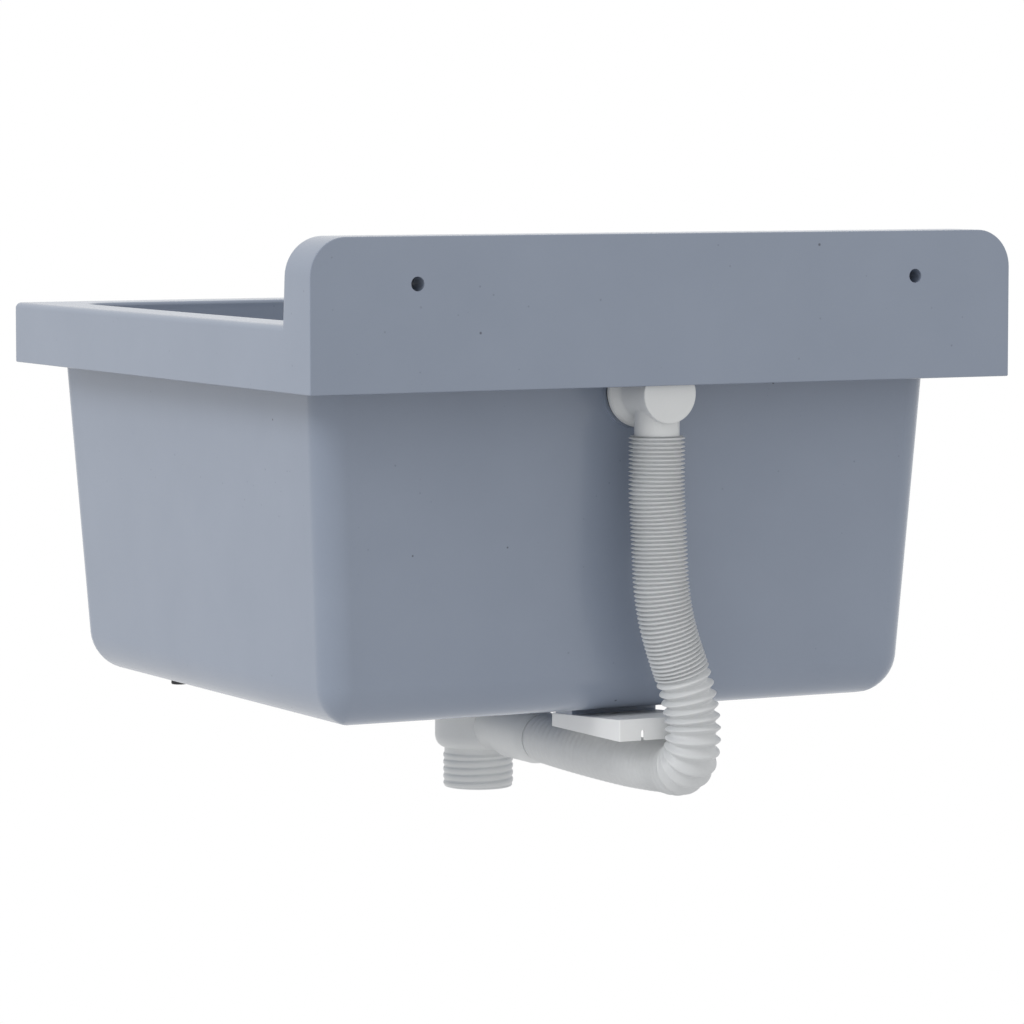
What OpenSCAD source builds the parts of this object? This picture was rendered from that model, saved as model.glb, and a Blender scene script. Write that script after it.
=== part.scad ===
// Wall-hung mop service sink: a moulded resin basin with its waste, overflow and rear support.
// Millimetres. +X is the user's right, -Y is the front, +Z is up, and the wall is the plane y = 0.
// The origin is midway between the two wall bolt holes, on the back face of the backsplash.

/* [Basin] */
// Overall width
basin_w = 500; // [440:1:600]
// Overall depth, from the wall to the front edge
basin_d = 480; // [430:1:560]
// Height of the skirt round the rim
rim_h = 41; // [38:1:56]
// Depth of the bowl below the skirt
bowl_h = 212; // [160:1:280]
// Setback of the bowl's side walls from the rim, at the skirt's lower edge
side_inset = 28; // [24:0.5:40]
// Setback of the bowl's front wall
front_inset = 13; // [10:0.5:24]
// Setback of the bowl's back wall
back_inset = 48; // [47:0.5:60]
// Distance that each bowl wall leans in over the bowl's depth
bowl_draft = 13; // [6:0.5:18]
// Radius of the bowl's upright corners, outside
bowl_corner_r = 18; // [12:1:26]
// Radius of the bowl's upright corners, inside
cavity_corner_r = 26; // [16:1:34]
// Radius between walls and underside, outside
bottom_r = 26; // [18:1:32]
// Radius between walls and floor, inside
cavity_bottom_r = 22; // [14:1:30]
// Thickness of the side and back walls
wall_t = 8.5; // [6:0.5:11]
// Thickness of the front wall
front_wall_t = 26; // [18:1:30]
// Thickness of the floor
floor_t = 8.5; // [7:0.5:12]
// Fall of the floor from its edge to the drain
floor_fall = 9; // [5:0.5:14]
// Radius of the flat land round the drain
land_r = 40; // [38:1:46]
// Distance of the drain from the wall
drain_y = 266; // [240:1:290]
// Radius of the rim's front corners
rim_corner_r = 5; // [3:0.5:9]
// Rounding of the rim's outer top edge
rim_edge_r = 4; // [2:0.5:6]
// Rounding of the bowl's mouth
mouth_r = 2.5; // [2:0.5:7]
// Thickness of the deck over the hollow of the rim
deck_t = 9; // [7:0.5:11]
// Thickness of the side skirts beside the hollow of the rim
skirt_t = 8; // [6:0.5:10]
// Thickness of the rear skirt, on the wall
rear_skirt_t = 3.25; // [2.5:0.25:3.5]

/* [Backsplash] */
// Height of the backsplash above the skirt's lower edge
plate_h = 95; // [85:1:130]
// Thickness at the top
plate_t = 37.5; // [32:0.5:40]
// Thickness at the deck
plate_root_t = 41.5; // [40:0.5:42.5]
// Radius of the two top corners
plate_corner_r = 24; // [16:1:32]
// Rounding of the front edges
plate_edge_r = 4; // [2:0.5:7]
// Fillet between the backsplash and the deck
root_r = 5; // [2:0.5:6]
// Distance between the two wall bolt holes
bolt_spacing = 356; // [300:1:400]
// Radius of the wall bolt holes
bolt_r = 4.5; // [3:0.25:6]
// Distance of the bolt holes below the top edge
bolt_drop = 29; // [24:1:34]

/* [Waste] */
// Radius of the steel flange in the floor
flange_r = 35; // [33:0.5:37]
// Thickness of the flange and of the cup's base
flange_t = 1.5; // [1:0.1:2]
// Outer radius of the cup under the flange
cup_r = 26; // [25:0.25:27]
// Wall of the cup
cup_wall = 1; // [0.8:0.1:1.5]
// Depth of the cup, from the flange's top to the top of its base
cup_depth = 27; // [25:0.5:29]
// Number of ports in the cup's base
port_count = 8; // [6:1:9]
// Radius of one port
port_r = 3.6; // [2.5:0.1:3.8]
// Radius of the ring of ports
port_ring_r = 13; // [12.5:0.25:14]
// Thickness of the rubber ring under the flange
gasket_t = 1.5; // [1:0.25:2]
// Thickness of the rubber ring over the waste body
body_gasket_t = 2; // [1.5:0.25:3]
// Outer radius of the waste body
body_r = 29.3; // [28.6:0.1:31]
// Outer radius of the waste body's top collar
collar_r = 36; // [34:0.5:37.5]
// Thickness of that collar
collar_t = 4; // [3:0.5:6]
// Wall of the waste body
body_wall = 2.4; // [2:0.1:2.6]
// Length of the waste body from its top to its shoulder
body_h = 26; // [22:1:30]
// Height of the shoulder between the body and the tail
shoulder_h = 8.5; // [7:0.5:14]
// Crest radius of the tail's thread
tail_r = 23.7; // [23:0.1:24.5]
// Depth of the thread
thread_depth = 1.3; // [0.8:0.1:1.8]
// Pitch of the thread
thread_pitch = 4.8; // [3.5:0.1:6]
// Number of thread crests
thread_count = 5; // [3:1:7]
// Bore radius of the tail
tail_bore_r = 20; // [18:0.5:20.5]
// Outer radius of the side inlet
inlet_r = 16; // [15.6:0.1:16.2]
// Distance of the side inlet's axis below the waste body's top
inlet_drop = 18; // [17.5:0.5:20]
// Length of the side inlet from the drain's axis
inlet_len = 60; // [50:1:70]
// Outer radius of the collar over the hose joint
cuff_r = 18.25; // [17.75:0.25:20]
// Length of that collar
cuff_len = 44; // [36:1:48]
// Radius of the clamp screw's shank
clamp_r = 3; // [2.5:0.1:3.5]

/* [Strainer and stopper] */
// Outer radius of the basket
basket_r = 22; // [21:0.25:23.5]
// Radius of the basket's lip
lip_r = 28.5; // [27.5:0.25:30]
// Thickness of the basket's metal
basket_wall = 0.9; // [0.8:0.1:1.2]
// Depth of the basket below its lip
basket_depth = 13; // [11:0.5:14]
// Radius of the holes in the basket
mesh_r = 1.5; // [1:0.1:1.6]
// Radius of the stopper's post
post_r = 2.5; // [2:0.1:3]
// Radius of the knob
knob_r = 9; // [7:0.5:11]
// Height of the knob
knob_h = 13; // [10:0.5:16]
// Radius of the rubber stopper
seal_r = 20; // [18:0.25:22]
// Thickness of the rubber stopper
seal_t = 6; // [5.5:0.25:7]

/* [Overflow] */
// Distance of the overflow's axis below the skirt's lower edge
overflow_drop = 5.5; // [3:0.5:12]
// Radius of the overflow hole
overflow_r = 14.5; // [12:0.5:15]
// Radius of the flange against the bowl
elbow_flange_r = 22.8; // [21:0.2:24]
// Outer radius of the barrel
barrel_r = 17.5; // [17:0.25:18]
// Radius of the end cap
cap_r = 18.5; // [18:0.25:19.5]
// Thickness of the end cap's disc
cap_t = 5; // [3:0.5:6]
// Distance of the end cap from the wall
cap_clear = 3.75; // [3.75:0.25:5]
// Distance of the spigot's axis in front of the end cap
spigot_offset = 17; // [16:0.5:18]
// Outer radius of the spigot
spigot_r = 14.25; // [14.25:0.25:15.5]
// Length of the spigot below the overflow's axis
spigot_drop = 27; // [24:0.5:34]
// Outer radius of the nose inside the hose
nose_r = 12.2; // [11.5:0.1:12.4]
// Radius of the cover inside the bowl
cover_r = 23; // [21:0.5:24]
// Thickness of the cover
cover_t = 1.2; // [0.8:0.1:1.6]

/* [Hose] */
// Crest radius of the ribs on the hanging part
rib_r = 17.7; // [17.2:0.1:17.8]
// Crest radius of the shallow ribs on the lower run
run_rib_r = 16.6; // [16.2:0.1:16.7]
// Radius between the ribs
trough_r = 15.2; // [15:0.1:15.6]
// Radius of the hose's bore
hose_bore_r = 13.6; // [13.5:0.1:13.8]
// Pitch of the fine ribs
fine_pitch = 2.7; // [2.6:0.1:4]
// Pitch of the stretched ribs round the bend
wide_pitch = 6.5; // [6:0.1:8]
// Pitch of the shallow ribs on the lower run
run_pitch = 4.5; // [4:0.1:6]

/* [Support] */
// Width of the wedge
wedge_w = 63; // [56:0.5:66]
// Distance of the wedge's middle from the basin's middle
wedge_x = 14.5; // [10:0.5:16]
// Length of the wedge
wedge_len = 91; // [84:1:110]
// Space between the bowl and the wedge's top, at its rear
wedge_drop = 1.2; // [0.3:0.1:2]
// Fall of the wedge's top along its length
wedge_fall = 5.4; // [4:0.1:6]
// Wall of the wedge
wedge_wall = 2; // [1.5:0.1:2.5]
// Width of the slot in the wedge's rear face
slot_w = 2.8; // [2:0.1:4]
// Height of that slot
slot_h = 6.5; // [4:0.5:9]
// Radius of a rubber foot
foot_r = 5.5; // [5:0.5:10]
// Height of a rubber foot
foot_h = 5.2; // [4.8:0.2:8]
// Distance of each foot from the middle
foot_x = 162.5; // [140:0.5:166]
// Distance of the feet from the wall
foot_y = 399; // [380:1:404]

/* [Hidden] */

$fn = 96;
hull_fn = 32;          // sides of a disc that a hull goes round
disc_t = 0.2;          // thickness of such a disc
cut = 1;               // how far a cut runs past the face that it opens
sharp_r = 0.5;         // radius of an edge that looks sharp
seat_gap = 0.2;        // space between a moving piece and its seat
fit_gap = 0.05;        // radial clearance of a running or threaded fit
free_gap = 0.3;        // radial clearance of a loose fit
hose_gap = 1.4;        // space between the hose's hanging part and the wedge
run_gap = 2.8;         // space between the hose's lower run and the wedge
seat_margin = 0.5;     // how much wider a seat is than the piece in it
gasket_inset = 0.7;    // how far a rubber ring stays inside the edge that it seals

resin = [0.60, 0.64, 0.70];
white_plastic = [0.88, 0.89, 0.89];
steel = [0.75, 0.76, 0.77];
brass = [0.72, 0.60, 0.32];
rubber = [0.10, 0.10, 0.11];

// Levels of the basin
z_top = bolt_drop;
z_skirt = z_top - plate_h;
z_rim = z_skirt + rim_h;
z_bowl = z_skirt - bowl_h;
z_under = z_bowl - floor_fall;
z_drain = z_under + floor_t;
lean = bowl_draft / bowl_h;

function outer_x(z) = basin_w / 2 - side_inset - lean * (z_skirt - z);
function outer_front(z) = -basin_d + front_inset + lean * (z_skirt - z);
function outer_back(z) = -back_inset - lean * (z_skirt - z);
function cavity_x(z) = outer_x(z) - wall_t;
function cavity_front(z) = outer_front(z) + front_wall_t;
function cavity_back(z) = outer_back(z) - wall_t;

// Levels of the waste, downwards
drain_hole_r = cup_r + 1;
tail_plain = 3;        // plain length between the shoulder and the thread
gasket_z = z_drain - flange_t - gasket_t;
cup_floor_z = z_drain - cup_depth;
cup_base_z = cup_floor_z - flange_t;
body_top_z = z_under - body_gasket_t;
shoulder_z = body_top_z - body_h;
tail_z = shoulder_z - shoulder_h;
thread_h = thread_pitch * thread_count;
tail_end_z = tail_z - tail_plain - thread_h;
inlet_z = body_top_z - inlet_drop;
inlet_y = -drain_y + inlet_len;
inlet_bore_r = hose_bore_r - 0.2;
cuff_back = 11;        // how far the collar reaches back over the inlet
body_bore_r = body_r - body_wall;
thread_root_r = tail_r - thread_depth;
clamp_head_r = clamp_r + 2.5;
clamp_head_h = 2.5;
slot_t = 1.2;          // width and depth of a screwdriver slot
insert_r = clamp_r + 2.5;
insert_h = 8;
boss_r = insert_r + 2.5;
boss_floor = 2;        // thickness of the boss under the insert
bridge_t = 2.5;        // thickness of the ribs that carry the boss
insert_z = tail_z - 4;
clamp_end_z = insert_z - boss_floor;

// Levels of the strainer and the stopper
lip_z = z_drain + seat_gap;
basket_z = lip_z - basket_depth;
bush_r = post_r + 2;
bush_h = 5;
mesh_rings = [[8, 8], [12.5, 12], [17, 18]];    // [radius of a ring of holes, number of holes]
side_holes = 12;
seal_z = cup_floor_z + seat_gap;
seal_top_z = seal_z + seal_t;
post_foot_r = 6;
post_foot_h = 1.5;
knob_z = basket_z + basket_wall + bush_h + 2;
knob_base_h = 2;       // straight foot of the knob
knob_crown_h = 5;      // its rounded top
neck_r = post_r - 0.6;
neck_h = 6;
seal_chamfer = 2;      // height of the rubber stopper's bevel

// Places of the overflow
overflow_z = z_skirt - overflow_drop;
seat_stand = 1.8;      // how far the upright seats stand off the leaning wall
overflow_gasket_t = 2;
boss_y = outer_back(overflow_z) + seat_stand;
gasket_y = boss_y + overflow_gasket_t;
elbow_flange_t = 3.5;
elbow_cone_h = 5;
spigot_y = -cap_clear - spigot_offset;
spigot_z = overflow_z - spigot_drop;
cover_y = cavity_back(overflow_z) + seat_stand;
barrel_wall = 2.5;
barrel_bore_r = barrel_r - barrel_wall;
barrel_end_y = -cap_clear - cap_t;
cap_lip = 5;           // how far the cap's lip reaches into the barrel
nose_len = 18;
nose_wall = 1.7;
overflow_screw_r = 2.4;
overflow_insert_r = overflow_screw_r + 1.75;
overflow_insert_h = 10;
insert_boss_h = 12;
boss_end_y = gasket_y + insert_boss_h;
boss_rib_t = 2;
cover_dish = 0.8;      // height of the cover's raised middle
cover_mid_r = overflow_screw_r + 4;
cover_holes = 12;
cover_hole_r = 1.9;
overflow_head_r = overflow_screw_r + 2.2;
overflow_head_h = 2.2;

// The hose's route, by hand-chosen points, from the overflow's spigot to the waste's side inlet.
// Hanging part: [x, distance behind the spigot's axis, share of the way down to the bend]
hang = [
    [0, 0, 0], [0, 0, 0.1], [0, 0, 0.22], [-1, 0.3, 0.34], [-1.8, 0.8, 0.47], [-3, 1.3, 0.59],
    [-6.3, 1.8, 0.71], [-11.7, 2.1, 0.82], [-17.3, 2.2, 0.91], [-22, 2.2, 1]
];
// Bend: [x, distance in front of the hanging part's end, height over the lower run's start]
bend = [[-25, 0, 34], [-25.5, 0, 21], [-25.5, 2.8, 10.5], [-25.5, 10.5, 2.8], [-25.5, 21, 0]];
// Lower run: [x, depth below the inlet's axis, share of the way to the inlet]
run = [
    [-24.5, 5.6, 0], [-22, 6.7, 0.11], [-18, 6.5, 0.23], [-13, 5.2, 0.36], [-7.5, 3.4, 0.5],
    [-2.5, 1.4, 0.63], [0, 0, 0.76], [0, 0, 0.88], [0, 0, 1]
];
bend_y = spigot_y + hang[len(hang) - 1][1];
bend_z = inlet_z - run[0][1];
bend_top_z = bend_z + 49;
run_start_y = bend_y - 33;
route = concat(
    [for (p = hang) [p[0], spigot_y + p[1], spigot_z + p[2] * (bend_top_z - spigot_z)]],
    [for (p = bend) [p[0], bend_y - p[1], bend_z + p[2]]],
    [for (p = run) [p[0], run_start_y + p[2] * (inlet_y - run_start_y), inlet_z - p[1]]]
);

// Places of the wedge and the feet
wedge_y = rib_r + hose_gap - bend_y;
wedge_top_z = z_bowl - wedge_drop;
wedge_bottom_z = bend_z + run_rib_r + run_gap;
pad_from = 102;        // the wedge's seat under the bowl, by distance from the wall
pad_to = 124;
pad_w = wedge_w - 2 * seat_margin;
pad_top_z = z_bowl + floor_t / 2;
wedge_screw_y = (pad_from + pad_to) / 2;
wedge_screw_r = 2;
wedge_screw_bite = 2;  // how deep the wedge's hole reaches above the bowl's underside
wedge_head_h = 2;
foot_seat_h = 3;
foot_seat_z = z_bowl - foot_seat_h;
foot_screw_r = 1.5;
foot_head_r = foot_screw_r + 1.2;
foot_head_h = 1.8;
foot_recess = 2.2;
foot_screw_bite = 5;   // how far a foot's screw reaches into the seat

function wedge_z(y) = wedge_top_z - wedge_fall * (y - wedge_y) / wedge_len;

// The hose's rings along that route
wide_share = 0.40;     // where the stretched ribs start, as a share of the hose's length
run_share = 0.566;     // where the shallow ribs start
plain_len = cuff_len - cuff_back + 2;
hose_sides = 8;
bore_step = 8;         // spacing of the bore's rings
route_steps = 6;       // short lines between two points of the route

function spline_at(p, i, t) =
    let (a = p[max(i - 1, 0)], b = p[i], c = p[i + 1], d = p[min(i + 2, len(p) - 1)])
    0.5 * (2 * b + (c - a) * t + (2 * a - 5 * b + 4 * c - d) * t * t
        + (3 * b - a - 3 * c + d) * t * t * t);
smooth = concat(
    [for (i = [0:len(route) - 2]) for (k = [0:route_steps - 1]) spline_at(route, i, k / route_steps)],
    [route[len(route) - 1]]
);
last_point = len(smooth) - 1;
along = [for (
    i = 0, s = 0;
    i <= last_point;
    s = s + norm(smooth[min(i + 1, last_point)] - smooth[i]), i = i + 1
) s];
hose_len = along[last_point];
wide_from = wide_share * hose_len;
run_from = run_share * hose_len;
plain_from = hose_len - plain_len;
tables = [for (axis = [0:2]) [for (i = [0:last_point]) [along[i], smooth[i][axis]]]];

function hose_point(s) = [for (axis = [0:2]) lookup(s, tables[axis])];
function hose_dir(s) =
    let (d = hose_point(min(s + 1, hose_len)) - hose_point(max(s - 1, 0)))
    d / norm(d);
function hose_ring(s, r) =
    let (
        p = hose_point(s),
        d = hose_dir(s),
        side = [1, 0, 0] - d * d[0],
        e1 = side / norm(side),
        e2 = cross(d, e1)
    )
    [for (k = [0:hose_sides - 1])
        let (a = 360 * (k + 0.5) / hose_sides)
        p + r * (cos(a) * e1 + sin(a) * e2)];

// Each rib is a low ring at its start and a crest in its middle, as [place along the route, radius]
function ribs(from, to, pitch, crest) =
    let (n = round((to - from) / pitch), p = (to - from) / n)
    [for (i = [0:n - 1]) each [[from + p * i, trough_r], [from + p * (i + 0.5), crest]]];
stations = concat(
    ribs(0, wide_from, fine_pitch, rib_r),
    ribs(wide_from, run_from, wide_pitch, rib_r),
    ribs(run_from, plain_from, run_pitch, run_rib_r),
    [[plain_from, trough_r], [hose_len, trough_r]]
);
bore_count = round(hose_len / bore_step);
bore_stations = [for (i = [bore_count:-1:0]) [hose_len * i / bore_count, hose_bore_r]];
loop_stations = concat(stations, bore_stations);
hose_rings = [for (s = loop_stations) hose_ring(s[0], s[1])];

// Least gap between one crest and the next, which is on the inside of the bend
crests = [for (i = [0:len(stations) - 1]) if (stations[i][1] > trough_r) hose_rings[i]];
least_rib_gap = min([for (i = [0:len(crests) - 2]) for (k = [0:hose_sides - 1])
    norm(crests[i + 1][k] - crests[i][k])]);
echo(ribs = len(crests), hose_length = hose_len, least_rib_gap = least_rib_gap);

// Four discs at one level, for a hull with upright corners of radius r
module level(z, x, front, back, r) {
    for (side = [-1, 1], y = [front + r, back - r])
        translate([side * (x - r), y, z])
            cylinder(r = r, h = disc_t, $fn = hull_fn);
}

// A flat ring about the Z axis
module ring(z, h, r, bore) {
    translate([0, 0, z])
        difference() {
            cylinder(r = r, h = h);
            translate([0, 0, -cut])
                cylinder(r = bore, h = h + 2 * cut);
        }
}

// A cylinder about the overflow's axis, from y = near towards the front for a length h
module overflow_rod(near, h, r, bore = 0) {
    translate([0, near, overflow_z])
        rotate([90, 0, 0])
            difference() {
                cylinder(r = r, h = h);
                if (bore > 0)
                    translate([0, 0, -cut])
                        cylinder(r = bore, h = h + 2 * cut);
            }
}

// ---------- basin ----------

module bowl_outside() {
    hull() {
        level(z_rim - cut, outer_x(z_rim), outer_front(z_rim), outer_back(z_rim), bowl_corner_r);
        for (a = [0:15:90]) {
            z = z_bowl + bottom_r * (1 - sin(a));
            in = bottom_r * (1 - cos(a));
            corner = max(bowl_corner_r - in, sharp_r);
            level(z, outer_x(z) - in, outer_front(z) + in, outer_back(z) - in, corner);
        }
        translate([0, -drain_y, z_under])
            cylinder(r = land_r, h = disc_t, $fn = hull_fn);
    }
}

module bowl_inside() {
    hull() {
        level(z_rim + cut, cavity_x(z_rim), cavity_front(z_rim), cavity_back(z_rim), cavity_corner_r);
        for (a = [0:15:90]) {
            z = z_bowl + floor_t + cavity_bottom_r * (1 - sin(a));
            in = cavity_bottom_r * (1 - cos(a));
            corner = max(cavity_corner_r - in, sharp_r);
            level(z, cavity_x(z) - in, cavity_front(z) + in, cavity_back(z) - in, corner);
        }
        translate([0, -drain_y, z_drain])
            cylinder(r = land_r, h = disc_t, $fn = hull_fn);
    }
}

// One ring of the mouth's rounding, widening from one angle of the arc to the next
module mouth_ring(from, to) {
    hull()
        for (a = [from, to]) {
            z = z_rim - mouth_r * (1 - sin(a));
            out = mouth_r * (1 - cos(a));
            level(z, cavity_x(z) + out, cavity_front(z) - out, cavity_back(z) + out, cavity_corner_r + out);
        }
}

module rim_block() {
    hull()
        for (a = [-1, 0, 30, 60, 90]) {
            z = a < 0 ? z_skirt : z_rim - disc_t - rim_edge_r * (1 - sin(a));
            in = a < 0 ? 0 : rim_edge_r * (1 - cos(a));
            for (side = [-1, 1]) {
                translate([side * (basin_w / 2 - in - rim_corner_r), -basin_d + in + rim_corner_r, z])
                    cylinder(r = rim_corner_r, h = disc_t, $fn = hull_fn);
                translate([side * (basin_w / 2 - in - sharp_r), -in - sharp_r, z])
                    cylinder(r = sharp_r, h = disc_t, $fn = 8);
            }
        }
}

// The hollow under the deck, at the sides and the back
module rim_hollow() {
    hollow_d = basin_d - front_inset - front_wall_t - skirt_t;
    translate([-basin_w / 2 + skirt_t, -hollow_d, z_skirt - cut])
        cube([basin_w - 2 * skirt_t, hollow_d - rear_skirt_t, rim_h - deck_t + cut]);
}

module backsplash() {
    hull()
        for (a = [-1, 0, 30, 60, 90]) {
            in = a < 0 ? 0 : plate_edge_r * (1 - cos(a));
            back = a < 0 ? plate_t - disc_t : plate_edge_r * (1 - sin(a));
            corner_z = z_top - plate_corner_r;
            for (side = [-1, 1]) {
                translate([side * (basin_w / 2 - plate_corner_r), -plate_t + disc_t + back, corner_z])
                    rotate([90, 0, 0])
                        cylinder(r = plate_corner_r - in, h = disc_t, $fn = 2 * hull_fn);
                translate([side * (basin_w / 2 - in - sharp_r),
                    a < 0 ? 0 : -plate_root_t + disc_t + back, z_rim - rim_edge_r - sharp_r])
                    rotate([90, 0, 0])
                        cylinder(r = sharp_r, h = disc_t, $fn = 8);
            }
        }
}

module root_fillet() {
    w = basin_w - 2 * plate_edge_r;
    difference() {
        translate([-w / 2, -plate_root_t - root_r, z_rim - cut])
            cube([w, root_r + cut, root_r + cut]);
        translate([-w / 2 - cut, -plate_root_t - root_r, z_rim + root_r])
            rotate([0, 90, 0])
                cylinder(r = root_r, h = w + 2 * cut);
    }
}

// Flat seat under the bowl for the wedge, with its lower face on the wedge's top
module wedge_pad() {
    translate([-wedge_x - pad_w / 2, 0, 0])
        rotate([90, 0, 90])
            linear_extrude(pad_w)
                polygon([
                    [-pad_from, wedge_z(pad_from)], [-pad_to, wedge_z(pad_to)],
                    [-pad_to, pad_top_z], [-pad_from, pad_top_z]
                ]);
}

// An upright cylinder on the axis of each foot
module at_feet(r, z, h) {
    for (side = [-1, 1])
        translate([side * foot_x, -foot_y, z])
            cylinder(r = r, h = h);
}

module basin() {
    color(resin)
        difference() {
            union() {
                difference() {
                    rim_block();
                    rim_hollow();
                }
                bowl_outside();
                backsplash();
                root_fillet();
                wedge_pad();
                at_feet(foot_r + seat_margin, foot_seat_z, foot_seat_h + floor_t / 2);
                overflow_rod(boss_y, 2 * seat_stand, elbow_flange_r + 2 * seat_margin);
            }
            bowl_inside();
            mouth_ring(0, 30);
            mouth_ring(30, 60);
            mouth_ring(60, 90);
            for (side = [-1, 1])
                translate([side * bolt_spacing / 2, cut, 0])
                    rotate([90, 0, 0])
                        cylinder(r = bolt_r, h = plate_root_t + 2 * cut);
            translate([0, -drain_y, z_under - cut])
                cylinder(r = drain_hole_r, h = floor_t + 2 * cut);
            translate([0, -drain_y, gasket_z])
                cylinder(r = flange_r + seat_margin, h = flange_t + gasket_t + cut);
            overflow_rod(boss_y + cut, boss_y - cover_y + 2 * cut, overflow_r);
            overflow_rod(cover_y, 2 * seat_stand, cover_r + 2 * seat_margin);
            translate([-wedge_x, -wedge_screw_y, wedge_bottom_z])
                cylinder(r = wedge_screw_r + fit_gap, h = z_bowl + wedge_screw_bite - wedge_bottom_z);
            at_feet(foot_screw_r + fit_gap, foot_seat_z - cut, foot_screw_bite + 2 * cut);
        }
}

// ---------- overflow ----------

module overflow_gasket() {
    color(rubber)
        overflow_rod(gasket_y, overflow_gasket_t, elbow_flange_r - gasket_inset, overflow_r);
}

module overflow_body() {
    color(white_plastic)
        difference() {
            union() {
                overflow_rod(gasket_y + elbow_flange_t, elbow_flange_t, elbow_flange_r);
                translate([0, gasket_y + elbow_flange_t + elbow_cone_h - seat_margin, overflow_z])
                    rotate([90, 0, 0])
                        cylinder(r1 = barrel_r, r2 = elbow_flange_r - 1, h = elbow_cone_h);
                overflow_rod(barrel_end_y, barrel_end_y - gasket_y, barrel_r);
                translate([0, spigot_y, spigot_z])
                    cylinder(r = spigot_r, h = spigot_drop);
                translate([0, spigot_y, spigot_z - nose_len])
                    cylinder(r = nose_r, h = nose_len + cut);
            }
            difference() {
                overflow_rod(barrel_end_y + cut, barrel_end_y - gasket_y + 2 * cut, barrel_bore_r);
                insert_boss();
            }
            translate([0, spigot_y, spigot_z - nose_len - cut])
                cylinder(r = nose_r - nose_wall, h = nose_len + spigot_drop - barrel_wall);
            overflow_rod(boss_end_y + cut, insert_boss_h + 2 * cut, overflow_insert_r + fit_gap);
            overflow_rod(cut, cap_clear + cap_t + cut, cap_r + fit_gap);
        }
}

// Boss on three ribs in the barrel's mouth, which holds the insert
module insert_boss() {
    overflow_rod(boss_end_y, insert_boss_h, overflow_insert_r + barrel_wall);
    for (a = [90, 210, 330])
        translate([0, boss_end_y, overflow_z])
            rotate([90, a, 0])
                translate([-boss_rib_t / 2, overflow_insert_r + cut, 0])
                    cube([boss_rib_t, barrel_r - overflow_insert_r - cut, insert_boss_h]);
}

module overflow_cap() {
    color(white_plastic)
        union() {
            overflow_rod(-cap_clear, cap_t, cap_r);
            overflow_rod(barrel_end_y, cap_lip, barrel_bore_r - fit_gap, barrel_bore_r - barrel_wall);
        }
}

module overflow_insert() {
    color(brass)
        overflow_rod(boss_end_y, overflow_insert_h, overflow_insert_r, overflow_screw_r + fit_gap);
}

module overflow_cover() {
    color(steel)
        difference() {
            union() {
                overflow_rod(cover_y, cover_t, cover_r);
                overflow_rod(cover_y - cover_t, cover_dish, cover_mid_r);
            }
            for (i = [0:cover_holes - 1])
                translate([0, cover_y + cut, overflow_z])
                    rotate([90, 360 * i / cover_holes, 0])
                        translate([0, overflow_r - 2 * cover_hole_r, 0])
                            cylinder(r = cover_hole_r, h = cover_t + 2 * cut);
            overflow_rod(cover_y + cut, cover_t + cover_dish + 2 * cut, overflow_screw_r + free_gap);
        }
}

module overflow_screw() {
    head_y = cover_y - cover_t - cover_dish;
    end_y = boss_end_y - cut;
    color(steel)
        difference() {
            union() {
                overflow_rod(head_y, overflow_head_h, overflow_head_r);
                overflow_rod(end_y, end_y - head_y, overflow_screw_r);
            }
            translate([-overflow_head_r - cut, head_y - overflow_head_h - cut, overflow_z - slot_t / 2])
                cube([2 * overflow_head_r + 2 * cut, slot_t + cut, slot_t]);
        }
}

// One unbroken ribbed wall with its bore, closed at both ends
module overflow_hose() {
    n = len(hose_rings);
    color(white_plastic)
        polyhedron(
            points = [for (r = hose_rings) each r],
            faces = [
                for (i = [0:n - 1], k = [0:hose_sides - 1])
                    let (
                        j = (i + 1) % n,
                        k2 = (k + 1) % hose_sides,
                        a = i * hose_sides + k,
                        b = i * hose_sides + k2,
                        c = j * hose_sides + k2,
                        d = j * hose_sides + k
                    )
                    each [[a, b, c], [a, c, d]]
            ],
            convexity = 12
        );
}

module hose_cuff() {
    edge = 1;
    color(white_plastic)
        translate([0, inlet_y - cuff_back, inlet_z])
            rotate([-90, 0, 0])
                rotate_extrude()
                    polygon([
                        [inlet_r + free_gap, 0], [cuff_r - edge, 0], [cuff_r, edge],
                        [cuff_r, cuff_len - edge], [cuff_r - edge, cuff_len], [inlet_r + free_gap, cuff_len]
                    ]);
}

// ---------- waste ----------

module waste_flange() {
    color(steel)
        translate([0, -drain_y, 0])
            difference() {
                union() {
                    translate([0, 0, z_drain - flange_t])
                        cylinder(r = flange_r, h = flange_t);
                    translate([0, 0, cup_base_z])
                        cylinder(r = cup_r, h = z_drain - cup_base_z);
                }
                translate([0, 0, cup_floor_z])
                    cylinder(r = cup_r - cup_wall, h = cup_depth + cut);
                translate([0, 0, cup_base_z - cut])
                    cylinder(r = clamp_r + fit_gap, h = flange_t + 2 * cut);
                for (i = [0:port_count - 1])
                    rotate([0, 0, 360 * i / port_count])
                        translate([port_ring_r, 0, cup_base_z - cut])
                            cylinder(r = port_r, h = flange_t + 2 * cut);
            }
}

module flange_gasket() {
    color(rubber)
        translate([0, -drain_y, 0])
            ring(gasket_z, gasket_t, flange_r - gasket_inset, drain_hole_r);
}

module body_gasket() {
    color(rubber)
        translate([0, -drain_y, 0])
            ring(body_top_z, body_gasket_t, collar_r - gasket_inset, drain_hole_r + gasket_inset);
}

function thread_points(z) = [for (i = [0:thread_count - 1])
    let (from = z + i * thread_pitch)
    each [
        [thread_root_r, from + 0.2 * thread_pitch], [tail_r, from + 0.4 * thread_pitch],
        [tail_r, from + 0.8 * thread_pitch], [thread_root_r, from + thread_pitch]
    ]];

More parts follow.
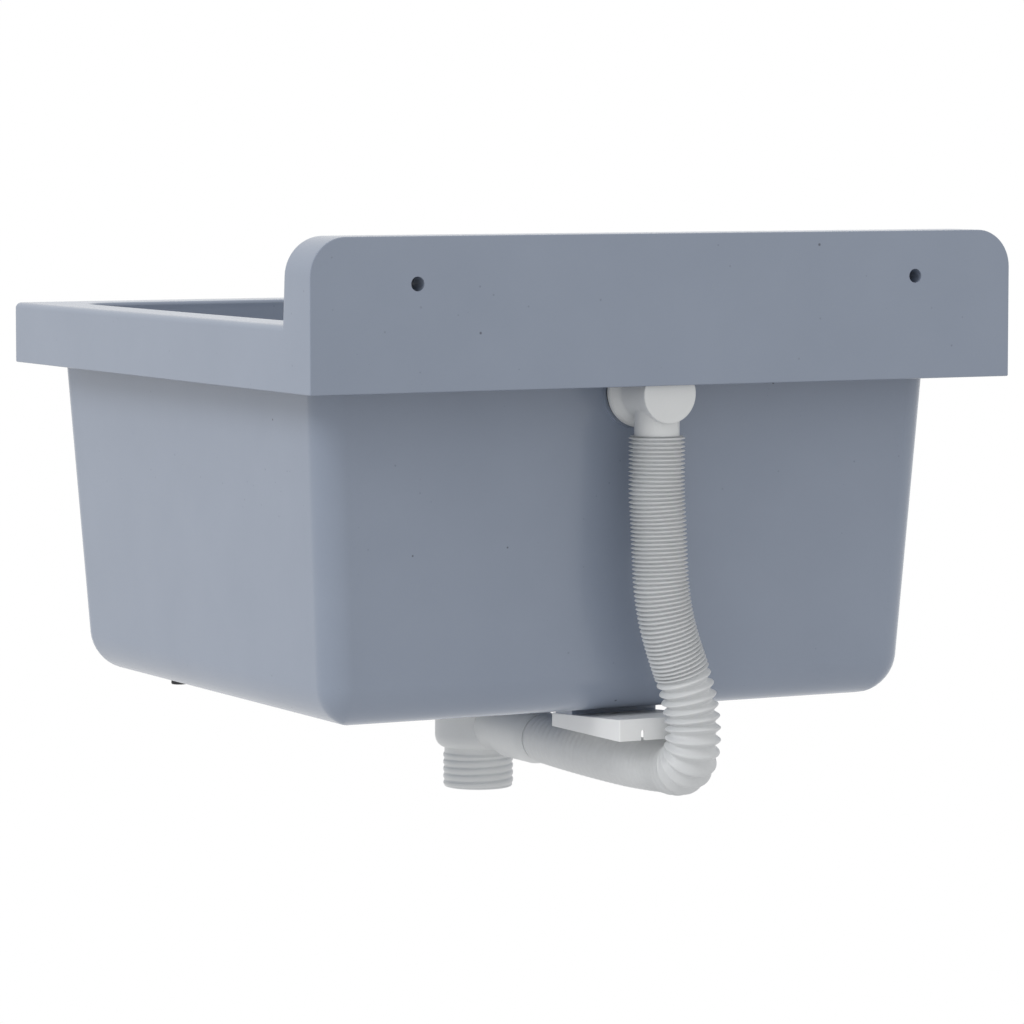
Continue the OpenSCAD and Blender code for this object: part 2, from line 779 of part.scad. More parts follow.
// Outline of the shoulder, from the tail up to the body, grown by a gap
function shoulder_points(gap = 0) = [for (a = [0:15:90])
    [thread_root_r + (body_r - thread_root_r) * sin(a) + gap, shoulder_z - shoulder_h * cos(a)]];

// The inlet's way into the waste, or its pipe, from the drain's axis outwards
module inlet_way(r, h) {
    translate([0, 0, inlet_z])
        rotate([-90, 0, 0])
            cylinder(r = r, h = h);
}

// Straight upper part of the waste, with the collar under the bowl
module waste_body() {
    color(white_plastic)
        translate([0, -drain_y, 0])
            difference() {
                union() {
                    ring(shoulder_z, body_h, body_r, body_bore_r);
                    ring(body_top_z - collar_t, collar_t, collar_r, body_bore_r);
                }
                inlet_way(inlet_bore_r, inlet_len);
            }
}

// Rounded part that narrows to the tail
module waste_shoulder() {
    color(white_plastic)
        translate([0, -drain_y, 0])
            difference() {
                rotate_extrude()
                    polygon(concat([[tail_bore_r, tail_z]], shoulder_points(), [[body_bore_r, shoulder_z]]));
                inlet_way(inlet_bore_r, inlet_len);
            }
}

module waste_tail() {
    color(white_plastic)
        translate([0, -drain_y, 0])
            rotate_extrude()
                polygon(concat(
                    [[tail_bore_r, tail_end_z], [thread_root_r - sharp_r, tail_end_z]],
                    thread_points(tail_end_z),
                    [[thread_root_r, tail_z], [tail_bore_r, tail_z]]
                ));
}

// Side inlet, its end shaped to sit on the body, the shoulder and the collar
module waste_inlet() {
    collar_bottom = body_top_z - collar_t - fit_gap;
    color(white_plastic)
        translate([0, -drain_y, 0])
            difference() {
                inlet_way(inlet_r, inlet_len);
                rotate_extrude()
                    polygon(concat(
                        [[0, tail_z]], shoulder_points(fit_gap),
                        [
                            [body_r + fit_gap, collar_bottom], [collar_r + fit_gap, collar_bottom],
                            [collar_r + fit_gap, body_top_z], [0, body_top_z]
                        ]
                    ));
                inlet_way(inlet_bore_r, inlet_len + cut);
            }
}

// Boss on four ribs across the tail's bore, which holds the insert
module clamp_bridge() {
    color(white_plastic)
        translate([0, -drain_y, clamp_end_z])
            difference() {
                union() {
                    cylinder(r = boss_r, h = insert_h + boss_floor);
                    intersection() {
                        cylinder(r = tail_bore_r - fit_gap, h = insert_h);
                        for (a = [45:90:315])
                            rotate([0, 0, a])
                                translate([boss_r - 1, -bridge_t / 2, 0])
                                    cube([tail_bore_r, bridge_t, insert_h]);
                    }
                }
                translate([0, 0, -cut])
                    cylinder(r = clamp_r + free_gap, h = insert_h);
                translate([0, 0, boss_floor])
                    cylinder(r = insert_r + fit_gap, h = insert_h + cut);
            }
}

module clamp_insert() {
    color(brass)
        translate([0, -drain_y, 0])
            ring(insert_z, insert_h, insert_r, clamp_r + fit_gap);
}

module clamp_screw() {
    color(steel)
        translate([0, -drain_y, 0])
            difference() {
                union() {
                    translate([0, 0, cup_floor_z])
                        cylinder(r = clamp_head_r, h = clamp_head_h);
                    translate([0, 0, clamp_end_z])
                        cylinder(r = clamp_r, h = cup_floor_z - clamp_end_z + cut);
                }
                translate([-clamp_head_r - cut, -slot_t / 2, cup_floor_z + clamp_head_h - slot_t])
                    cube([2 * clamp_head_r + 2 * cut, slot_t, slot_t + cut]);
            }
}

// ---------- strainer and stopper ----------

module strainer_basket() {
    inside_r = basket_r - basket_wall;
    color(steel)
        translate([0, -drain_y, 0])
            difference() {
                union() {
                    ring(lip_z, basket_wall, lip_r, inside_r);
                    ring(basket_z, basket_depth + basket_wall, basket_r, inside_r);
                    translate([0, 0, basket_z])
                        cylinder(r = basket_r, h = basket_wall);
                    translate([0, 0, basket_z])
                        cylinder(r = bush_r, h = basket_wall + bush_h);
                }
                translate([0, 0, basket_z - cut])
                    cylinder(r = post_r + fit_gap, h = basket_wall + bush_h + 2 * cut);
                for (holes = mesh_rings)
                    for (i = [0:holes[1] - 1])
                        rotate([0, 0, 360 * i / holes[1]])
                            translate([holes[0], 0, basket_z - cut])
                                cylinder(r = mesh_r, h = basket_wall + 2 * cut, $fn = 24);
                for (i = [0:side_holes - 1])
                    rotate([0, 0, 360 * (i + 0.5) / side_holes])
                        translate([inside_r - cut, 0, basket_z + basket_depth / 2])
                            rotate([0, 90, 0])
                                cylinder(r = mesh_r, h = basket_wall + 2 * cut, $fn = 24);
            }
}

module stopper_post() {
    foot_z = seal_top_z - post_foot_h;
    color(steel)
        translate([0, -drain_y, 0])
            union() {
                translate([0, 0, foot_z])
                    cylinder(r = post_foot_r, h = post_foot_h);
                translate([0, 0, foot_z])
                    cylinder(r = post_r, h = knob_z - foot_z);
                translate([0, 0, knob_z - cut])
                    cylinder(r = neck_r, h = neck_h + cut);
            }
}

module stopper_knob() {
    waist_r = 0.6 * knob_r;
    flare = knob_r - waist_r;
    crown = knob_h - knob_crown_h;
    color(rubber)
        translate([0, -drain_y, knob_z])
            difference() {
                rotate_extrude()
                    polygon(concat(
                        [[0, 0], [waist_r, 0], [waist_r, knob_base_h]],
                        [for (a = [0:15:90])
                            [waist_r + flare * sin(a), crown - (crown - knob_base_h) * cos(a)]],
                        [for (a = [15:15:90]) [knob_r * cos(a), crown + knob_crown_h * sin(a)]]
                    ));
                translate([0, 0, -cut])
                    cylinder(r = neck_r + fit_gap, h = neck_h + cut + seat_gap);
            }
}

module stopper_seal() {
    color(rubber)
        translate([0, -drain_y, seal_z])
            difference() {
                union() {
                    cylinder(r = seal_r, h = seal_t - seal_chamfer);
                    translate([0, 0, seal_t - seal_chamfer])
                        cylinder(r1 = seal_r, r2 = seal_r - 1.5 * seal_chamfer, h = seal_chamfer);
                }
                translate([0, 0, -cut])
                    cylinder(r = clamp_head_r + 2 * seat_margin, h = clamp_head_h + free_gap + cut);
                translate([0, 0, seal_t - post_foot_h])
                    cylinder(r = post_foot_r + fit_gap, h = post_foot_h + cut);
            }
}

// ---------- rear wedge and front feet ----------

module wedge_side(grow) {
    polygon([
        [-wedge_y - grow, wedge_z(wedge_y + grow) - grow],
        [-wedge_y - wedge_len + grow, wedge_z(wedge_y + wedge_len - grow) - grow],
        [-wedge_y - wedge_len + grow, wedge_bottom_z - (grow > 0 ? cut : 0)],
        [-wedge_y - grow, wedge_bottom_z - (grow > 0 ? cut : 0)]
    ]);
}

module support_wedge() {
    color(white_plastic)
        difference() {
            translate([-wedge_x - wedge_w / 2, 0, 0])
                rotate([90, 0, 90])
                    linear_extrude(wedge_w)
                        wedge_side(0);
            translate([-wedge_x - wedge_w / 2 + wedge_wall, 0, 0])
                rotate([90, 0, 90])
                    linear_extrude(wedge_w - 2 * wedge_wall)
                        wedge_side(wedge_wall);
            translate([-slot_w / 2, -wedge_y - wedge_wall - cut, wedge_bottom_z - cut])
                cube([slot_w, wedge_wall + 2 * cut, slot_h + cut]);
            translate([-wedge_x, -wedge_screw_y, wedge_bottom_z])
                cylinder(r = wedge_screw_r + free_gap, h = z_bowl - wedge_bottom_z);
        }
}

module wedge_screw() {
    head_z = wedge_z(wedge_screw_y) - wedge_wall - free_gap;
    color(steel)
        translate([-wedge_x, -wedge_screw_y, 0])
            union() {
                translate([0, 0, head_z - wedge_head_h])
                    cylinder(r = 2 * wedge_screw_r, h = wedge_head_h);
                translate([0, 0, head_z - cut])
                    cylinder(r = wedge_screw_r, h = z_bowl + cut - head_z);
            }
}

module front_feet() {
    color(rubber)
        difference() {
            at_feet(foot_r, foot_seat_z - foot_h, foot_h);
            at_feet(foot_head_r + seat_margin, foot_seat_z - foot_h - cut, foot_recess + cut);
            at_feet(foot_screw_r + free_gap, foot_seat_z - foot_h - cut, foot_h + 2 * cut);
        }
}

module foot_screws() {
    head_top_z = foot_seat_z - foot_h + foot_recess;
    color(steel)
        union() {
            at_feet(foot_head_r, head_top_z - foot_head_h, foot_head_h);
            at_feet(foot_screw_r, head_top_z - cut, foot_seat_z + foot_screw_bite - head_top_z + cut);
        }
}

basin();
overflow_gasket();
overflow_body();
overflow_cap();
overflow_insert();
overflow_cover();
overflow_screw();
overflow_hose();
hose_cuff();
waste_flange();
flange_gasket();
body_gasket();
waste_body();
waste_shoulder();
waste_tail();
waste_inlet();
clamp_bridge();
clamp_screw();
clamp_insert();
strainer_basket();
stopper_post();
stopper_knob();
stopper_seal();
support_wedge();
wedge_screw();
front_feet();
foot_screws();
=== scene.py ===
"""Visual model of a wall-hung mop service sink: basin, overflow, ribbed hose, waste, strainer and wedge.

Lengths are in metres in the part's frame: +X is the user's right, -Y the front, +Z up, and the wall is y = 0.
"""

from __future__ import annotations

import logging
import math
from contextlib import contextmanager
from dataclasses import dataclass
from enum import Enum
from functools import cached_property
from typing import Callable, Iterator, Sequence

import bmesh
import bpy
from mathutils import Euler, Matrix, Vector

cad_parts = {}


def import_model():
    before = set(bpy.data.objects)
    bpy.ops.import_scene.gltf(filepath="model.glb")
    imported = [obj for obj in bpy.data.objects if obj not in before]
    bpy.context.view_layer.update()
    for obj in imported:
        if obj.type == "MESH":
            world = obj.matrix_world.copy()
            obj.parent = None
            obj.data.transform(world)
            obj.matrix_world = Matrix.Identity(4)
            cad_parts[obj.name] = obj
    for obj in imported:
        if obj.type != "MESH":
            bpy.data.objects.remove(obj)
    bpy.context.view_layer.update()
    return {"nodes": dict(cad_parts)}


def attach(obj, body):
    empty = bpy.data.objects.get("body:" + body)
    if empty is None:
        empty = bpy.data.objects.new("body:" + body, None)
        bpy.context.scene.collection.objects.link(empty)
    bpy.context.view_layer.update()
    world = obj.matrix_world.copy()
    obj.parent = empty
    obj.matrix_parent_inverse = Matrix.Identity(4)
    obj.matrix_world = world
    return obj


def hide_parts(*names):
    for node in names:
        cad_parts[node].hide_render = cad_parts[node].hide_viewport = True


LOG = logging.getLogger("mop_sink")
TINY = 1e-5
DRAIN_Y = -0.266
OVERFLOW_Z = -0.0715
SPIGOT_Y, SPIGOT_Z = -0.02075, -0.0985
INLET_Y, INLET_Z = -0.206, -0.307
FOOT_X, FOOT_Y = 0.1625, -0.399
WEDGE_REAR_Y, WEDGE_TOP_Z, WEDGE_FALL, WEDGE_LENGTH = -0.03765, -0.2792, 0.0054, 0.091
WEDGE_SCREW = (-0.0145, -0.113)

Obj = bpy.types.Object
Socket = bpy.types.NodeSocket
Colour = tuple[float, float, float]
Point = Sequence[float]
Profile = list[tuple[float, float]]
Corners = list[tuple[float, float, float]]


class Body(Enum):
    """The moving bodies that a piece can ride on."""

    SINK = "sink"
    STOPPER = "stopper"


class Slot(Enum):
    """The record's material slots."""

    RESIN = "resin"
    WHITE = "white_plastic"
    HOSE = "hose_plastic"
    STEEL = "steel"
    BRASS = "brass"
    RUBBER = "rubber"


class Axis(Enum):
    """The way that a turned piece points, as the turn that takes +Z there."""

    UP = (0.0, 0.0, 0.0)
    WALL = (-math.pi / 2, 0.0, 0.0)


# --- Modelling helpers ---


def deselect_all() -> None:
    """Leaves object mode with nothing selected, as every operator acts on all that is."""
    if bpy.context.view_layer.objects.active is not None and bpy.context.mode != "OBJECT":
        bpy.ops.object.mode_set(mode="OBJECT")
    bpy.ops.object.select_all(action="DESELECT")


def only(obj: Obj) -> None:
    """Selects one object and makes it active."""
    deselect_all()
    obj.select_set(True)
    bpy.context.view_layer.objects.active = obj


def settle(name: str) -> Obj:
    """Names the active object and puts its place, turn and scale into its mesh.

    Args:
        name: the object's name.

    Returns:
        The object.
    """
    obj = bpy.context.active_object
    obj.name = name
    bpy.ops.object.transform_apply(location=True, rotation=True, scale=True)
    return obj


@contextmanager
def editing(obj: Obj, kind: str = "EDGE") -> Iterator[bmesh.types.BMesh]:
    """Opens a mesh in edit mode with nothing of it selected, and closes it at the end.

    Args:
        obj: the mesh object.
        kind: the select mode, VERT, EDGE or FACE.

    Yields:
        The edit mesh, for selecting by place.
    """
    only(obj)
    bpy.ops.object.mode_set(mode="EDIT")
    bpy.ops.mesh.select_mode(type=kind)
    bpy.ops.mesh.select_all(action="DESELECT")
    yield bmesh.from_edit_mesh(obj.data)
    bpy.ops.object.mode_set(mode="OBJECT")


def pick_edges(bm: bmesh.types.BMesh, test: Callable[[Vector, Vector], bool]) -> None:
    """Selects the edges whose two ends pass a test.

    Args:
        bm: the edit mesh.
        test: says of an edge's two end points whether it is wanted.
    """
    for edge in bm.edges:
        if test(edge.verts[0].co, edge.verts[1].co):
            edge.select = True
    bm.select_flush_mode()


def pick_faces(bm: bmesh.types.BMesh, test: Callable[[Vector, Vector], bool]) -> None:
    """Selects the faces whose middle and normal pass a test.

    Args:
        bm: the edit mesh.
        test: says of a face's middle and normal whether it is wanted.
    """
    for face in bm.faces:
        if test(face.calc_center_median(), face.normal):
            face.select = True
    bm.select_flush_mode()


def bevel(width: float, segments: int) -> None:
    """Bevels the selected edges.

    Args:
        width: the bevel's offset.
        segments: the steps across it.
    """
    bpy.ops.mesh.bevel(offset_type="OFFSET", offset=width, segments=segments, profile=0.5,
                       clamp_overlap=False)


def block(name: str, low: Point, high: Point) -> Obj:
    """Adds a box between two corners, as the start of a piece.

    Args:
        name: the object's name.
        low: the lowest corner.
        high: the highest corner.

    Returns:
        The box, with its place in its mesh.
    """
    deselect_all()
    low, high = Vector(low), Vector(high)
    bpy.ops.mesh.primitive_cube_add(size=1.0, location=(low + high) / 2)
    bpy.context.active_object.scale = high - low
    return settle(name)


def rod(name: str, start: Point, length: float, radius: float, axis: Axis = Axis.UP,
        sides: int = 64) -> Obj:
    """Adds a plain cylinder that serves as a cutter or as the start of a piece.

    Args:
        name: the object's name.
        start: the middle of its first end.
        length: its length along the axis.
        radius: its radius.
        axis: the way that it points.
        sides: the number of its sides.

    Returns:
        The cylinder, with its place in its mesh.
    """
    deselect_all()
    turn = Euler(axis.value)
    middle = Vector(start) + turn.to_matrix() @ Vector((0, 0, length / 2))
    bpy.ops.mesh.primitive_cylinder_add(
        vertices=sides, radius=radius, depth=length, location=middle, rotation=turn)
    return settle(name)


def rounded_profile(corners: Corners, closed: bool = False) -> Profile:
    """Rounds the corners of a profile in four steps each.

    Args:
        corners: radius, height and rounding of each corner, in order.
        closed: whether the last corner leads back to the first.

    Returns:
        The points, as radius and height.
    """
    steps = 4
    points: Profile = []
    count = len(corners)
    for i, (r, z, fillet) in enumerate(corners):
        here = Vector((r, z))
        end = not closed and i in (0, count - 1)
        if fillet <= 0 or end:
            points.append((r, z))
            continue
        before = Vector(corners[i - 1][:2]) - here
        after = Vector(corners[(i + 1) % count][:2]) - here
        reach = min(fillet, 0.49 * before.length, 0.49 * after.length)
        a, b = here + before.normalized() * reach, here + after.normalized() * reach
        for k in range(steps + 1):
            t = k / steps
            point = a * (1 - t) ** 2 + here * (2 * t * (1 - t)) + b * t**2
            points.append((point.x, point.y))
    return points


def turned(name: str, profile: Profile, centre: Point, axis: Axis = Axis.UP, sides: int = 96,
           ring: bool = False) -> Obj:
    """Makes a turned piece by extruding and resizing a circle from one point of its profile to the next.

    Args:
        name: the object's name.
        profile: radius and height of each point; the first and last discs close a solid.
        centre: the place of the profile's origin.
        axis: the way that the profile's height points.
        sides: the steps round the piece.
        ring: whether the profile is closed and the piece has a hole through it.

    Returns:
        The piece, with its place in its mesh.
    """
    deselect_all()
    points = profile + [profile[0]] if ring else profile
    first_r, first_z = points[0]
    bpy.ops.mesh.primitive_circle_add(vertices=sides, radius=first_r, location=(0, 0, first_z),
                                      fill_type="NOTHING" if ring else "NGON")
    obj = settle(name)
    with editing(obj, "VERT"):
        bpy.ops.mesh.select_all(action="SELECT")
        for (r0, z0), (r1, z1) in zip(points, points[1:]):
            bpy.ops.mesh.extrude_region_move(TRANSFORM_OT_translate={"value": (0, 0, z1 - z0)})
            if abs(r1 - r0) > 1e-9:
                bpy.ops.transform.resize(value=(r1 / r0, r1 / r0, 1), center_override=(0, 0, z1))
        bpy.ops.mesh.select_all(action="SELECT")
        bpy.ops.mesh.remove_doubles(threshold=1e-6)
        bpy.ops.mesh.normals_make_consistent(inside=False)
    obj.rotation_euler = axis.value
    obj.location = centre
    only(obj)
    return settle(name)


def join(first: Obj, *others: Obj) -> Obj:
    """Joins pieces into the first one.

    Args:
        first: the piece that stays.
        *others: the pieces that go into it.

    Returns:
        The first piece.
    """
    deselect_all()
    for obj in (first, *others):
        obj.select_set(True)
    bpy.context.view_layer.objects.active = first
    bpy.ops.object.join()
    return first


def apply_modifiers(obj: Obj) -> None:
    """Applies all modifiers of a piece in order."""
    only(obj)
    for name in [m.name for m in obj.modifiers]:
        bpy.ops.object.modifier_apply(modifier=name)


def combine(obj: Obj, other: Obj, how: str) -> None:
    """Joins a solid to a piece, or cuts it out of it, and removes the solid.

    Args:
        obj: the piece.
        other: the solid.
        how: UNION or DIFFERENCE.
    """
    modifier = obj.modifiers.new(how.title(), "BOOLEAN")
    modifier.operation = how
    modifier.solver = "EXACT"
    modifier.object = other
    apply_modifiers(obj)
    bpy.data.objects.remove(other)


def clean(obj: Obj) -> None:
    """Merges doubles, dissolves flat seams and points the faces outwards."""
    with editing(obj, "VERT"):
        bpy.ops.mesh.select_all(action="SELECT")
        bpy.ops.mesh.remove_doubles(threshold=2e-6)
        bpy.ops.mesh.dissolve_degenerate(threshold=2e-6)
        bpy.ops.mesh.normals_make_consistent(inside=False)


def shade(obj: Obj, angle: float, weighted: bool = True) -> None:
    """Shades a piece smooth under an angle, with its flat faces kept flat.

    Args:
        obj: the piece.
        angle: edges under this angle, in degrees, are smooth.
        weighted: whether large faces lead the normals.
    """
    only(obj)
    bpy.ops.object.shade_smooth_by_angle(angle=math.radians(angle))
    if weighted:
        modifier = obj.modifiers.new("Flat faces stay flat", "WEIGHTED_NORMAL")
        modifier.keep_sharp = True
        modifier.weight = 80
        apply_modifiers(obj)


def quarter(steps: int, first: int = 1) -> list[float]:
    """The angles of a quarter turn.

    Args:
        steps: the steps across it.
        first: the first step that is wanted.

    Returns:
        The angles, up to a right angle.
    """
    return [math.pi / 2 * k / steps for k in range(first, steps + 1)]


# --- Shared node groups ---


@dataclass
class NodeSheet:
    """A node tree with short ways to add nodes and wires."""

    tree: bpy.types.NodeTree

    def add(self, kind: str, **settings: object) -> bpy.types.Node:
        """Adds a node.

        Args:
            kind: its type name.
            **settings: its properties.

        Returns:
            The node.
        """
        node = self.tree.nodes.new(kind)
        for key, value in settings.items():
            setattr(node, key, value)
        return node

    def put(self, value: object, into: Socket) -> None:
        """Feeds a socket from another one, or sets its value.

        Args:
            value: a socket or a plain value.
            into: the socket that takes it.
        """
        if isinstance(value, Socket):
            self.tree.links.new(value, into)
        else:
            into.default_value = value

    def math(self, operation: str, a: object, b: object = 0.0) -> Socket:
        """Adds a math node.

        Args:
            operation: its operation.
            a: its first value or socket.
            b: its second value or socket.

        Returns:
            Its result.
        """
        node = self.add("ShaderNodeMath", operation=operation)
        self.put(a, node.inputs[0])
        self.put(b, node.inputs[1])
        return node.outputs[0]

    def remap(self, value: Socket, low: object, high: object, to_low: object, to_high: object) -> Socket:
        """Adds a clamped map range.

        Args:
            value: what is mapped.
            low: the value that gives to_low.
            high: the value that gives to_high.
            to_low: the result at low.
            to_high: the result at high.

        Returns:
            The mapped value.
        """
        node = self.add("ShaderNodeMapRange", clamp=True)
        keys = ("Value", "From Min", "From Max", "To Min", "To Max")
        for key, item in zip(keys, (value, low, high, to_low, to_high)):
            self.put(item, node.inputs[key])
        return node.outputs["Result"]

    def blend(self, share: Socket, a: object, b: object) -> Socket:
        """Adds a colour mix.

        Args:
            share: how much of b shows.
            a: a colour or socket.
            b: a colour or socket.

        Returns:
            The mixed colour.
        """
        node = self.add("ShaderNodeMix", data_type="RGBA", clamp_factor=True)
        self.put(share, node.inputs[0])
        for value, socket in ((a, node.inputs[6]), (b, node.inputs[7])):
            self.put(value if isinstance(value, Socket) else (*value, 1.0), socket)
        return node.outputs[2]

    def noise(self, vector: Socket, scale: object, detail: object) -> Socket:
        """Adds a noise in space.

        Args:
            vector: its coordinates.
            scale: its scale.
            detail: its detail.

        Returns:
            Its value.
        """
        node = self.add("ShaderNodeTexNoise", noise_dimensions="3D")
        for key, item in (("Vector", vector), ("Scale", scale), ("Detail", detail)):
            self.put(item, node.inputs[key])
        return node.outputs["Fac"]


class GroupLibrary:
    """The node groups that several materials share, each built once."""

    def start(self, name: str, output: str, **inputs: float) -> tuple[NodeSheet, dict[str, Socket], Socket]:
        """Opens a new group with a Vector input, number inputs and one number output.

        Args:
            name: the group's name.
            output: the output's name.
            **inputs: the default of each number input, with spaces written as underscores.

        Returns:
            The sheet, the inputs by name and the socket that takes the output.
        """
        tree = bpy.data.node_groups.new(name, "ShaderNodeTree")
        tree.interface.new_socket(name="Vector", in_out="INPUT", socket_type="NodeSocketVector")
        for key, default in inputs.items():
            socket = tree.interface.new_socket(
                name=key.replace("_", " "), in_out="INPUT", socket_type="NodeSocketFloat")
            socket.default_value = default
        tree.interface.new_socket(name=output, in_out="OUTPUT", socket_type="NodeSocketFloat")
        sheet = NodeSheet(tree)
        entry, leave = sheet.add("NodeGroupInput"), sheet.add("NodeGroupOutput")
        return sheet, {socket.name: socket for socket in entry.outputs if socket.name}, leave.inputs[output]

    @cached_property
    def specks(self) -> bpy.types.NodeTree:
        """Sparse round specks of uneven size, one at most in each cell."""
        sheet, inp, mask = self.start("Specks", "Mask", Cells=100.0, Share=0.2, Size=0.08)
        cells = sheet.add("ShaderNodeTexVoronoi", feature="F1", voronoi_dimensions="3D")
        sheet.put(inp["Vector"], cells.inputs["Vector"])
        sheet.put(inp["Cells"], cells.inputs["Scale"])
        lot = sheet.add("ShaderNodeSeparateColor")
        sheet.put(cells.outputs["Color"], lot.inputs["Color"])
        drawn = sheet.math("LESS_THAN", lot.outputs["Red"], inp["Share"])
        spread = sheet.remap(lot.outputs["Green"], 0.0, 1.0, 0.35, 1.0)
        reach = sheet.math("MULTIPLY", inp["Size"], spread)
        core = sheet.math("MULTIPLY", reach, 0.55)
        spot = sheet.remap(cells.outputs["Distance"], core, reach, 1.0, 0.0)
        sheet.put(sheet.math("MULTIPLY", spot, drawn), mask)
        return sheet.tree

    @cached_property
    def cloud(self) -> bpy.types.NodeTree:
        """Soft uneven cloud from 0 to 1, centred on one half."""
        sheet, inp, value = self.start("Cloud", "Value", Scale=20.0, Detail=3.0, Contrast=1.0)
        noise = sheet.noise(inp["Vector"], inp["Scale"], inp["Detail"])
        centred = sheet.math("SUBTRACT", noise, 0.5)
        scaled = sheet.math("MULTIPLY", centred, sheet.math("MULTIPLY", inp["Contrast"], 2.0))
        sheet.put(sheet.remap(sheet.math("ADD", scaled, 0.5), 0.0, 1.0, 0.0, 1.0), value)
        return sheet.tree

    @cached_property
    def skin(self) -> bpy.types.NodeTree:
        """Height of a moulded skin: fine grain over a slow waviness."""
        sheet, inp, height = self.start("Moulded skin", "Height", Grain=1500.0, Wave=60.0, Wave_share=0.5)
        grain = sheet.noise(inp["Vector"], inp["Grain"], 2.0)
        wave = sheet.noise(inp["Vector"], inp["Wave"], 1.0)
        sheet.put(sheet.math("ADD", grain, sheet.math("MULTIPLY", wave, inp["Wave share"])), height)
        return sheet.tree

    @cached_property
    def handling(self) -> bpy.types.NodeTree:
        """Roughness that varies as on a wiped and handled surface."""
        sheet, inp, rough = self.start("Handling", "Roughness", Roughness=0.35, Spread=0.08, Scale=14.0)
        broad = sheet.noise(inp["Vector"], inp["Scale"], 4.0)
        fine = sheet.noise(inp["Vector"], sheet.math("MULTIPLY", inp["Scale"], 17.0), 3.0)
        mixed = sheet.math("ADD", sheet.math("MULTIPLY", broad, 0.7), sheet.math("MULTIPLY", fine, 0.3))
        spread = sheet.math("MULTIPLY", inp["Spread"], 4.0)
        offset = sheet.math("MULTIPLY", sheet.math("SUBTRACT", mixed, 0.5), spread)
        sheet.put(sheet.math("ADD", inp["Roughness"], offset), rough)
        return sheet.tree


@dataclass
class MaterialSheet(NodeSheet):
    """The node tree of one material, with its shader and its own object coordinates."""

    library: GroupLibrary
    material: bpy.types.Material
    shader: bpy.types.Node
    place: Socket

    @classmethod
    def begin(cls, name: str, library: GroupLibrary) -> MaterialSheet:
        """Makes a material with a shader.

        Args:
            name: the material's name.
            library: the shared groups.

        Returns:
            The sheet.
        """
        material = bpy.data.materials.new(name)
        material.use_nodes = True
        tree = material.node_tree
        tree.nodes.clear()
        out, shader = tree.nodes.new("ShaderNodeOutputMaterial"), tree.nodes.new("ShaderNodeBsdfPrincipled")
        tree.links.new(shader.outputs[0], out.inputs["Surface"])
        coordinates = tree.nodes.new("ShaderNodeTexCoord")
        return cls(tree, library, material, shader, coordinates.outputs["Object"])

    def group(self, tree: bpy.types.NodeTree, **values: float) -> Socket:
        """Places a shared group on the object's own coordinates.

        Args:
            tree: the group.
            **values: its inputs, with spaces written as underscores.

        Returns:
            The group's output.
        """
        node = self.add("ShaderNodeGroup", node_tree=tree)
        self.put(self.place, node.inputs["Vector"])
        for key, value in values.items():
            node.inputs[key.replace("_", " ")].default_value = value
        return node.outputs[0]

    def clouds(self, scale: float, detail: float, contrast: float) -> Socket:
        """Places the cloud group.

        Args:
            scale: its scale.
            detail: its detail.
            contrast: its contrast.

        Returns:
            The cloud's value.
        """
        return self.group(self.library.cloud, Scale=scale, Detail=detail, Contrast=contrast)

    def specked(self, colour: Socket, amount: float, tint: Colour, cells: float, share: float,
                size: float) -> Socket:
        """Lays specks over a colour.

        Args:
            colour: the colour under them.
            amount: how strongly they show.
            tint: their colour.
            cells: their cells to a metre.
            share: the share of the cells with one.
            size: their size in a cell.

        Returns:
            The colour with its specks.
        """
        mask = self.group(self.library.specks, Cells=cells, Share=share, Size=size)
        return self.blend(self.math("MULTIPLY", mask, amount), colour, tint)

    def bump(self, height: Socket, strength: float, distance: float) -> None:
        """Raises the surface by a height.

        Args:
            height: the height's socket.
            strength: the bump's strength.
            distance: the height's size in metres.
        """
        node = self.add("ShaderNodeBump")
        node.inputs["Strength"].default_value = strength
        node.inputs["Distance"].default_value = distance
        self.put(height, node.inputs["Height"])
        self.put(node.outputs["Normal"], self.shader.inputs["Normal"])

    def skin(self, grain: float, wave: float, wave_share: float, strength: float, distance: float) -> None:
        """Raises the surface by the moulded skin.

        Args:
            grain: the scale of its grain.
            wave: the scale of its waviness.
            wave_share: how much of the waviness shows.
            strength: the bump's strength.
            distance: the height's size in metres.
        """
        height = self.group(self.library.skin, Grain=grain, Wave=wave, Wave_share=wave_share)
        self.bump(height, strength, distance)

    def surface(self, colour: Socket, roughness: float, spread: float, scale: float) -> None:
        """Feeds the base colour, and the roughness from the handling group.

        Args:
            colour: the base colour.
            roughness: the middle roughness.
            spread: how far it varies.
            scale: the scale of that.
        """
        self.put(colour, self.shader.inputs["Base Color"])
        rough = self.group(self.library.handling, Roughness=roughness, Spread=spread, Scale=scale)
        self.put(rough, self.shader.inputs["Roughness"])


# --- Finishes ---


